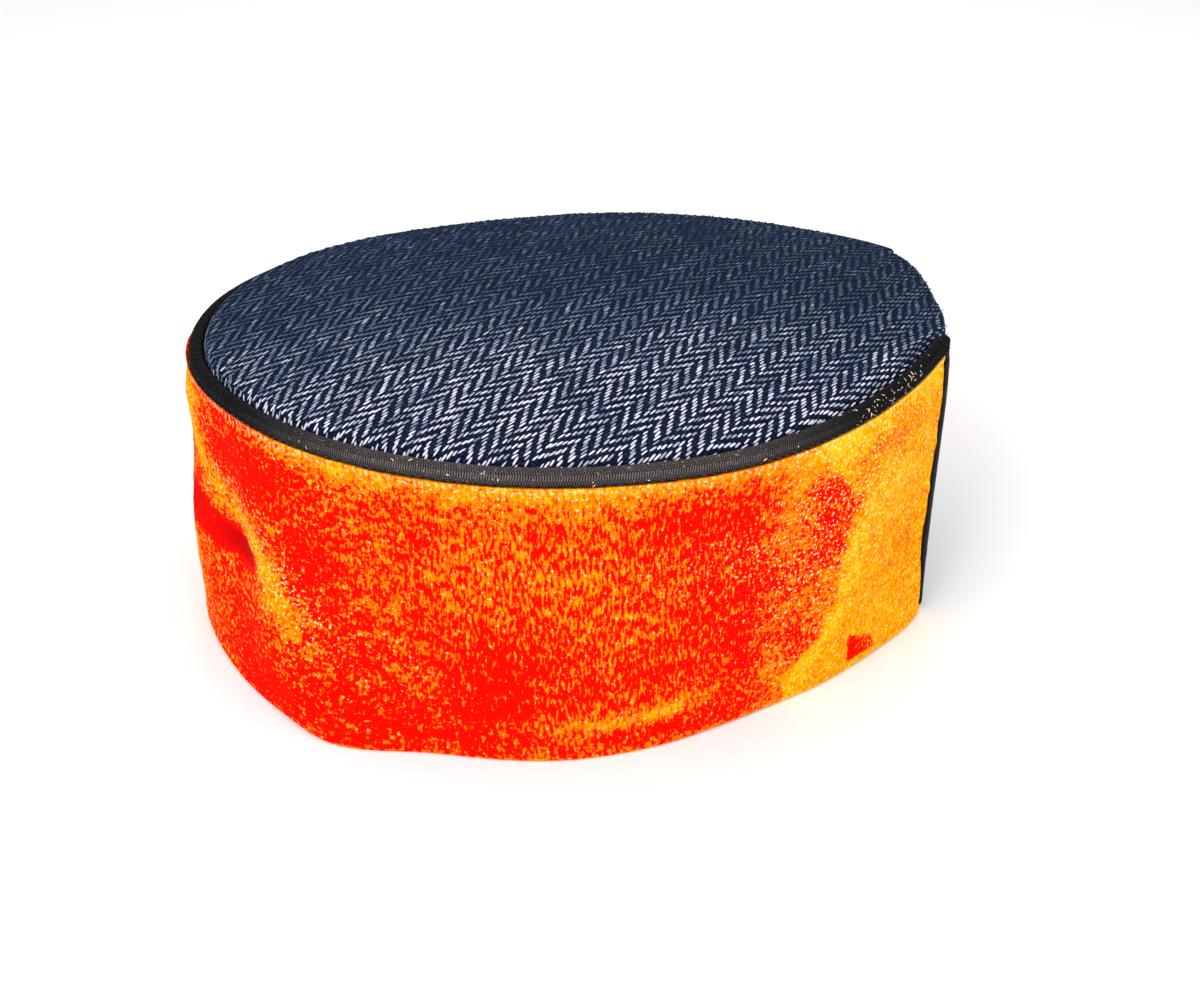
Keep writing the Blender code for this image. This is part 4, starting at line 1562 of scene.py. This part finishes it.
    def _amber_end(self, view: np.ndarray, height: np.ndarray, places: np.ndarray) -> np.ndarray:
        """The amber of the near end, whose pile lies the other way, with a ragged paler border.

        Args:
            view: bearings from -180 to 180.
            height: heights.
            places: the same places laid flat.

        Returns:
            What the amber adds to the tone.
        """
        border = np.interp(height, self.amber_heights, self.amber_bearings)
        border = border + 2.2 * ripple(places, 5.0, 31.0) + 1.6 * ripple(places, 1.8, 33.0)
        amber = smooth_step(-3.6, 2.6, view - border) * smooth_step(112.0, 100.0, view)
        return 0.28 * amber + 0.12 * np.exp(-0.5 * ((view - border - 1.4) / 1.0) ** 2)

    def _lit_ridge(self, view: np.ndarray, height: np.ndarray) -> np.ndarray:
        """The pale line along the top of the left ridge: a painted highlight where the ridge catches the
        light.
        """
        ridge = np.interp(view, self.ridge_bearings, self.ridge_heights)
        lit = np.exp(-0.5 * ((height - ridge) / 4.5) ** 2) * smooth_step(-46.0, -58.0, view)
        return 0.22 * lit * smooth_step(-96.0, -88.0, view)

    def _low_mark(self, view: np.ndarray, height: np.ndarray) -> np.ndarray:
        """The small slanted mark low on the near end, where the pile is pressed.

        Args:
            view: bearings from -180 to 180.
            height: heights.

        Returns:
            What the mark takes from the tone.
        """
        left, right, low = self.mark_left, self.mark_right, self.mark_low
        inside = smooth_step(left - 0.4, left + 0.4, view) * smooth_step(right, right - 1.4, view)
        inside = inside * smooth_step(low - 0.4, low + 0.4, height)
        slanted = smooth_step(0.8, -0.4, height - self.mark_high + 0.75 * (view - left))
        return (self.mark_strength - 0.05 * (view - left)) * inside * slanted

    def sparkle(self, turns: np.ndarray, height: np.ndarray) -> np.ndarray:
        """How thickly the pile's tips glitter at a place, from 0 to 1."""
        return np.clip(together(self.glitters, signed(turns), height), 0.0, 1.0)

    def hollow(self, turns: np.ndarray, height: np.ndarray) -> np.ndarray:
        """How deep in the left hollow's shade a place lies, from 0 to 1.

        Args:
            turns: bearings.
            height: heights.

        Returns:
            The depth at each place.
        """
        view = signed(turns)
        line = np.interp(view, self.hollow_bearings, self.hollow_heights)
        half = np.interp(view, self.hollow_bearings, self.hollow_halves)
        inside = smooth_step(-63.8, -67.6, view) * smooth_step(-112.0, -100.0, view)
        rough = 1.0 + 0.35 * ripple(unrolled(turns, height), 3.0, 41.0)
        clear = 1 - smooth_step(0.50, 1.25, rough * np.abs(height - line) / half)
        crest = np.exp(-0.5 * ((height - line - 1.0) / 3.0) ** 2)
        shade = 0.46 + 0.38 * crest * smooth_step(-84.0, -72.0, view)
        shade = shade + 0.35 * smooth_step(-79.0, -88.0, view) * smooth_step(30.0, 44.0, height)
        return np.clip(shade, 0.0, 1.0) * clear * inside

    def build(self) -> list[bpy.types.Object]:
        """Make the flap.

        Returns:
            The one piece, in a list.
        """
        form = FORM
        bearing, distance, raw_edge = self.columns()
        offset, height, free = self.profile(bearing, distance, raw_edge)
        near_foot = (1 - smooth_step(self.inset, self.hem_corner_reach, distance))[:, None]
        outwards = np.where(bearing > 270.0, 1.0, -1.0)[:, None] * form.degrees_along(1.0, form.flap_end)
        turns = bearing[:, None] + 1.7 * outwards * near_foot * (1 - smooth_step(2.6, 3.9, height))
        places = unrolled(turns, height)
        relief = 0.42 * ripple(places, 16.0, 1.0) + 0.22 * ripple(places, 6.0, 4.0)
        relief = relief + 0.12 * ripple(places, 2.2, 8.0) + 0.10 * ripple(places * (1.0, 0.45), 1.3, 12.0)
        main_face = free * (height < self.face_top + 0.01)
        offset = offset + main_face * self.swell(turns, height)
        offset = offset + free * relief * smooth_step(0.0, 3.0, height)
        across, up = form.on_flap(turns, height)
        up = up + together(self.hem_lifts, turns, height)
        points = form.wall(across, up, form.stand_off(height) + offset + form.curl(turns, height))
        arc = np.concatenate(((0.0,), np.cumsum(np.radians(np.diff(bearing)) * form.side_face(
            bearing[1:], np.full(len(bearing) - 1, form.rim_height / 2)))))
        cloth = np.stack((arc[:, None] + 0 * height, height), axis=-1) * MM
        streak = np.clip(together(self.streaks, signed(across), height), 0, 1)
        seam = np.exp(-0.5 * ((height - self.seam_height) / 0.5) ** 2) * free
        # deep carries the painted shade of the left hollow, sparkle the density of painted glints, and seam
        # the painted glints at the stitches.
        marks = {"tone": self.tone(across, height), "streak": streak, "deep": self.hollow(across, height),
                 "seam": seam, "sparkle": self.sparkle(across, height)}
        piece = Skin("velvet", points, cloth, False, marks, laddered=True).build()
        dress(piece, VelvetFinish().material())
        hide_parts("velvet_flap")
        return [piece]


@dataclass
class FlapBinding:
    """The black ribbed strip folded over the flap's ends and its top edge, with its stitching."""

    top: float = 77.5
    depth: float = 4.0
    half_width: float = 1.9
    wall: float = 0.85
    nose_depth: float = 1.15
    nose_height: float = 1.5
    corner: float = 0.9
    foot: float = 4.0
    rib_spacing: float = 0.6
    steps_per_rib: int = 4
    wave: float = 0.16
    seam_lowest: float = 70.0

    def edge_path(self) -> tuple[np.ndarray, ...]:
        """The binding's outer edge, evenly spaced, with the way into the flap at each place.

        Returns:
            Bearings, heights, and the change of bearing and of height for each millimetre inwards.
        """
        form = FORM
        start, end = form.flap_start, form.flap_end
        along_start = form.degrees_along(1.0, start)
        along_end = form.degrees_along(1.0, end)
        step = self.rib_spacing / self.steps_per_rib
        rise = np.arange(self.foot, self.top - self.depth, step)
        zero, unit = np.zeros_like(rise), np.ones_like(rise)
        upright = np.stack((zero, rise, unit, zero))
        straight = np.arange(self.top - self.depth, self.top - self.corner, step)
        turn = np.radians(np.arange(0.0, 90.0, math.degrees(step / self.corner)))
        flat = np.arange(self.corner, self.depth, step)
        along = np.concatenate((0 * straight, self.corner * (1 - np.cos(turn)), flat))
        height = np.concatenate((straight, self.top - self.corner * (1 - np.sin(turn)), self.top + 0 * flat))
        inward = (self.depth - along) / self.depth
        down = (self.top - self.depth - height) / self.depth
        corner = np.hstack((upright, np.stack((along, height, inward, down))))
        first = np.stack((start + corner[0] * along_start, corner[1], corner[2] * along_start, corner[3]))
        last = np.stack((end - corner[0] * along_end, corner[1], -corner[2] * along_end, corner[3]))[:, ::-1]
        low, high = start + self.depth * along_start, end - self.depth * along_end
        count = int((high - low) / form.degrees_along(step, 0.0))
        middle = np.linspace(low, high, count)
        top = np.stack((middle, self.top + 0 * middle, 0 * middle, -1 + 0 * middle))
        return tuple(np.hstack((first, top, last)))

    def profile(self) -> tuple[np.ndarray, np.ndarray, np.ndarray]:
        """The folded strip's cross-section: up its outer wall, over the nose and down inside.

        Returns:
            Depths from the edge, distances across, and how clearly the ribs show at each point.
        """
        nose = [(self.nose_height * (1 - math.cos(math.radians(a))), math.sin(math.radians(a)))
                for a in (68.0, 44.0, 20.0)]
        outer = [(self.depth - 0.1, 0.72), (self.depth, 0.88), (self.depth - 0.35, 1.02),
                 (2.9, 1.04), (2.2, 1.02)]
        outer += nose
        depth = [d for d, _ in outer] + [0.0] + [d for d, _ in reversed(outer[2:])]
        across = [s for _, s in outer] + [0.0] + [-s for _, s in reversed(outer[2:])]
        slot = self.half_width - self.wall
        depth += [self.depth, self.nose_depth, self.nose_depth]
        across = [value * self.half_width for value in across] + [-slot, -slot, slot]
        ribbed = [0.3, 0.6] + [1.0] * (2 * len(outer) - 3) + [0.0] * 3
        return np.array(depth), np.array(across), np.array(ribbed)

    def build(self) -> list[bpy.types.Object]:
        """Make the ribbed strip, its stitches and the lint caught on it.

        Returns:
            The strip, then the stitches and the lint.
        """
        form = FORM
        bearing, height, inward, down = (part[:, None] for part in self.edge_path())
        depth, across, ribbed = (part[None, :] for part in self.profile())
        heights = height + down * depth
        turns = bearing + inward * depth
        places = unrolled(bearing, height)
        sway = self.wave * ripple(places, 7.0, 3.0) + 0.5 * self.wave * ripple(places, 2.6, 6.0)
        heights = heights - sway * (depth / self.depth) * np.abs(down) * (across > 0.9)
        turns = turns + sway * (depth / self.depth) * inward * (across > 0.9)
        offset = form.stand_off(heights) + across + 0.05 * ripple(places, 3.0, 9.0)
        points = form.wall(*form.on_flap(turns, heights), offset + form.curl(turns, heights))
        outer_line = points[:, 4]
        steps = np.linalg.norm(np.diff(outer_line, axis=0), axis=1)
        along = np.concatenate(((0.0,), np.cumsum(steps)))
        profile_steps = np.hypot(np.diff(depth[0]), np.diff(across[0])) * MM
        girth = np.concatenate(((0.0,), np.cumsum(profile_steps)))
        cloth = np.stack(np.broadcast_arrays(along[:, None], girth[None, :]), axis=-1)
        worn, lint = self._sheen_and_lint(signed(bearing), height, depth, across)
        marks = {"along": along[:, None] + 0 * heights, "across": girth[None, :] + 0 * heights,
                 "ribbed": ribbed + 0 * heights, "worn": worn + 0 * heights, "lint": lint + 0 * heights}
        base = Skin("binding_base", points, cloth, False, marks).build()
        material = BindingFinish().material()
        strip = RaisedRibs().make("binding", base, {
            "Spacing": along[-1] / round(along[-1] / (self.rib_spacing * MM)), "Depth": 0.00028,
            "Lean": 0.35, "Cloth": material})
        dress(strip, material)
        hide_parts("flap_binding")
        return [strip, self._stitches(points), self._lint(strip)]

    def _sheen_and_lint(self, view: np.ndarray, height: np.ndarray, depth: np.ndarray,
              across: np.ndarray) -> tuple[np.ndarray, np.ndarray]:
        """Where a painted grey sheen lies on the binding, and where lint has caught on it.

        Args:
            view: bearings from -180 to 180.
            height: heights of the binding's outer edge.
            depth: each point's depth from that edge.
            across: each point's distance across the strip.

        Returns:
            The painted sheen and the density of the lint.
        """
        # Painted sheen: strongest on the front near the top edge, weaker on the outer wall of the near end.
        worn = smooth_step(-72.0, -38.0, view) * smooth_step(44.0, 8.0, view) * smooth_step(3.7, 2.9, depth)
        upright = (height < 71.0) * (view < 90.0)
        worn = worn + 0.35 * upright * smooth_step(0.4, 1.2, depth) * smooth_step(3.9, 3.0, depth)
        level = height > 70.0
        lint = smooth_step(36.0, 42.0, view) * smooth_step(61.0, 55.0, view) * (across > 0.6) * level
        return worn, lint + 0.05 * (np.abs(view) < 62.0) * (across > -0.8) * (depth < 3.4) * level

    def _lint(self, strip: bpy.types.Object) -> bpy.types.Object:
        """Scatter the pale flecks that have caught on the binding near its end.

        Args:
            strip: the finished binding.

        Returns:
            The flecks as one piece.
        """
        fibre = ThreadFinish("caught_lint", (0.42, 0.20, 0.04), (1.0, 0.86, 0.62)).material()
        flecks = LintScatter().make("binding_lint", link("lint_base", strip.data.copy()), {
            "Density": 330000.0, "Length": 0.0009, "Thickness": 0.00026, "Seed": 8, "Fibre": fibre})
        return dress(flecks, fibre)

    def _stitches(self, points: np.ndarray) -> bpy.types.Object:
        """Sew the binding's outer wall down, just inside its lower edge.

        Args:
            points: the strip's points, section by section.

        Returns:
            The stitches as one piece.
        """
        line = points[::12, 2] * 0.6 + points[::12, 3] * 0.4
        line = line[line[:, 2] > self.seam_lowest * MM]
        outwards = line - np.array(FORM.pole())
        outwards[:, 2] = 0.0
        line = line + outwards / np.linalg.norm(outwards, axis=1)[:, None] * 0.00006
        mesh = bpy.data.meshes.new("binding_seam")
        mesh.from_pydata(line.tolist(), [(i, i + 1) for i in range(len(line) - 1)], [])
        thread = ThreadFinish("black_thread", (0.006, 0.006, 0.007), (0.045, 0.045, 0.05)).material()
        stitches = StitchRow().make("binding_stitches", link("binding_seam", mesh), {
            "Pitch": 0.0024, "Stitch length": 0.0017, "Thread": 0.00028, "Seed": 5, "Thread colour": thread})
        return dress(stitches, thread)


@dataclass
class Studio:
    """The plain pale floor, the soft lights and the camera."""

    lens: float = 45.0
    place: tuple[float, float, float] = (364.84, -68.85, 236.92)
    heading: float = 168.2
    down: float = 30.1
    roll: float = -0.2
    floor_size: float = 6.0
    floor_tone: float = 0.92
    sky: float = 0.90

    def build(self) -> None:
        """Set the stage, the lights and the camera."""
        self._floor()
        self._sky()
        self._light("key", bearing=-45.0, height=0.62, distance=0.62, size=0.42, watts=3.3)
        self._light("front fill", bearing=20.0, height=0.40, distance=0.75, size=0.50, watts=1.6)
        self._light("back soft", bearing=165.0, height=0.70, distance=0.60, size=0.60, watts=1.2)
        self._camera()
        bpy.context.scene.view_settings.view_transform = "Standard"

    def _floor(self) -> None:
        """Lay the floor."""
        half = self.floor_size / 2
        mesh = bpy.data.meshes.new("floor")
        mesh.from_pydata([(-half, -half, 0), (half, -half, 0), (half, half, 0), (-half, half, 0)], [],
                         [(0, 1, 2, 3)])
        floor = link("floor", mesh)
        finish = Finish("pale_floor", 0.9, 0.0, (1.0, 1.0, 1.0))
        finish.shader.inputs["Base Color"].default_value = (self.floor_tone,) * 3 + (1.0,)
        mesh.materials.append(finish.material)

    def _sky(self) -> None:
        """Fill the room with even white light."""
        world = bpy.data.worlds.new("soft white room")
        world.use_nodes = True
        backdrop = world.node_tree.nodes["Background"]
        backdrop.inputs["Color"].default_value = (1.0, 1.0, 1.0, 1.0)
        backdrop.inputs["Strength"].default_value = self.sky
        bpy.context.scene.world = world

    def _light(self, name: str, bearing: float, height: float, distance: float, size: float,
               watts: float) -> None:
        """Hang one square soft light that faces the cap.

        Args:
            name: the light's name.
            bearing: where it stands round the cap, in degrees from +X.
            height: how high it hangs, in metres.
            distance: how far out it stands, in metres.
            size: the length of its side, in metres.
            watts: its power.
        """
        data = bpy.data.lights.new(name, "AREA")
        data.size, data.energy = size, watts
        light = bpy.data.objects.new(name, data)
        angle = math.radians(bearing)
        light.location = (distance * math.cos(angle), distance * math.sin(angle), height)
        aim = Vector((0.0, 0.0, 0.04)) - light.location
        light.rotation_euler = aim.to_track_quat("-Z", "Y").to_euler()
        bpy.context.scene.collection.objects.link(light)

    def _camera(self) -> None:
        """Set the camera where the photo's stood."""
        data = bpy.data.cameras.new("camera")
        data.lens = self.lens
        data.clip_start, data.clip_end = 0.01, 20.0
        camera = bpy.data.objects.new("camera", data)
        heading, down, roll = (math.radians(angle) for angle in (self.heading, self.down, self.roll))
        ahead = Vector((math.cos(heading) * math.cos(down), math.sin(heading) * math.cos(down),
                        -math.sin(down)))
        level = Vector((math.sin(heading), -math.cos(heading), 0.0))
        over = level.cross(ahead)
        right = level * math.cos(roll) + over * math.sin(roll)
        above = over * math.cos(roll) - level * math.sin(roll)
        turn = Matrix((right, above, -ahead)).transposed().to_4x4()
        camera.matrix_world = Matrix.Translation(Vector(self.place) * MM) @ turn
        bpy.context.scene.collection.objects.link(camera)
        bpy.context.scene.camera = camera


def main() -> None:
    """Build the cap's pieces and the studio."""
    logging.basicConfig(level=logging.INFO, format="%(message)s")
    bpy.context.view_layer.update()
    Studio().build()
    made = []
    for part in (CrownTop(), SideBand(), VelvetFlap(), FlapBinding()):
        made += part.build()


if __name__ == "__main__":
    main()
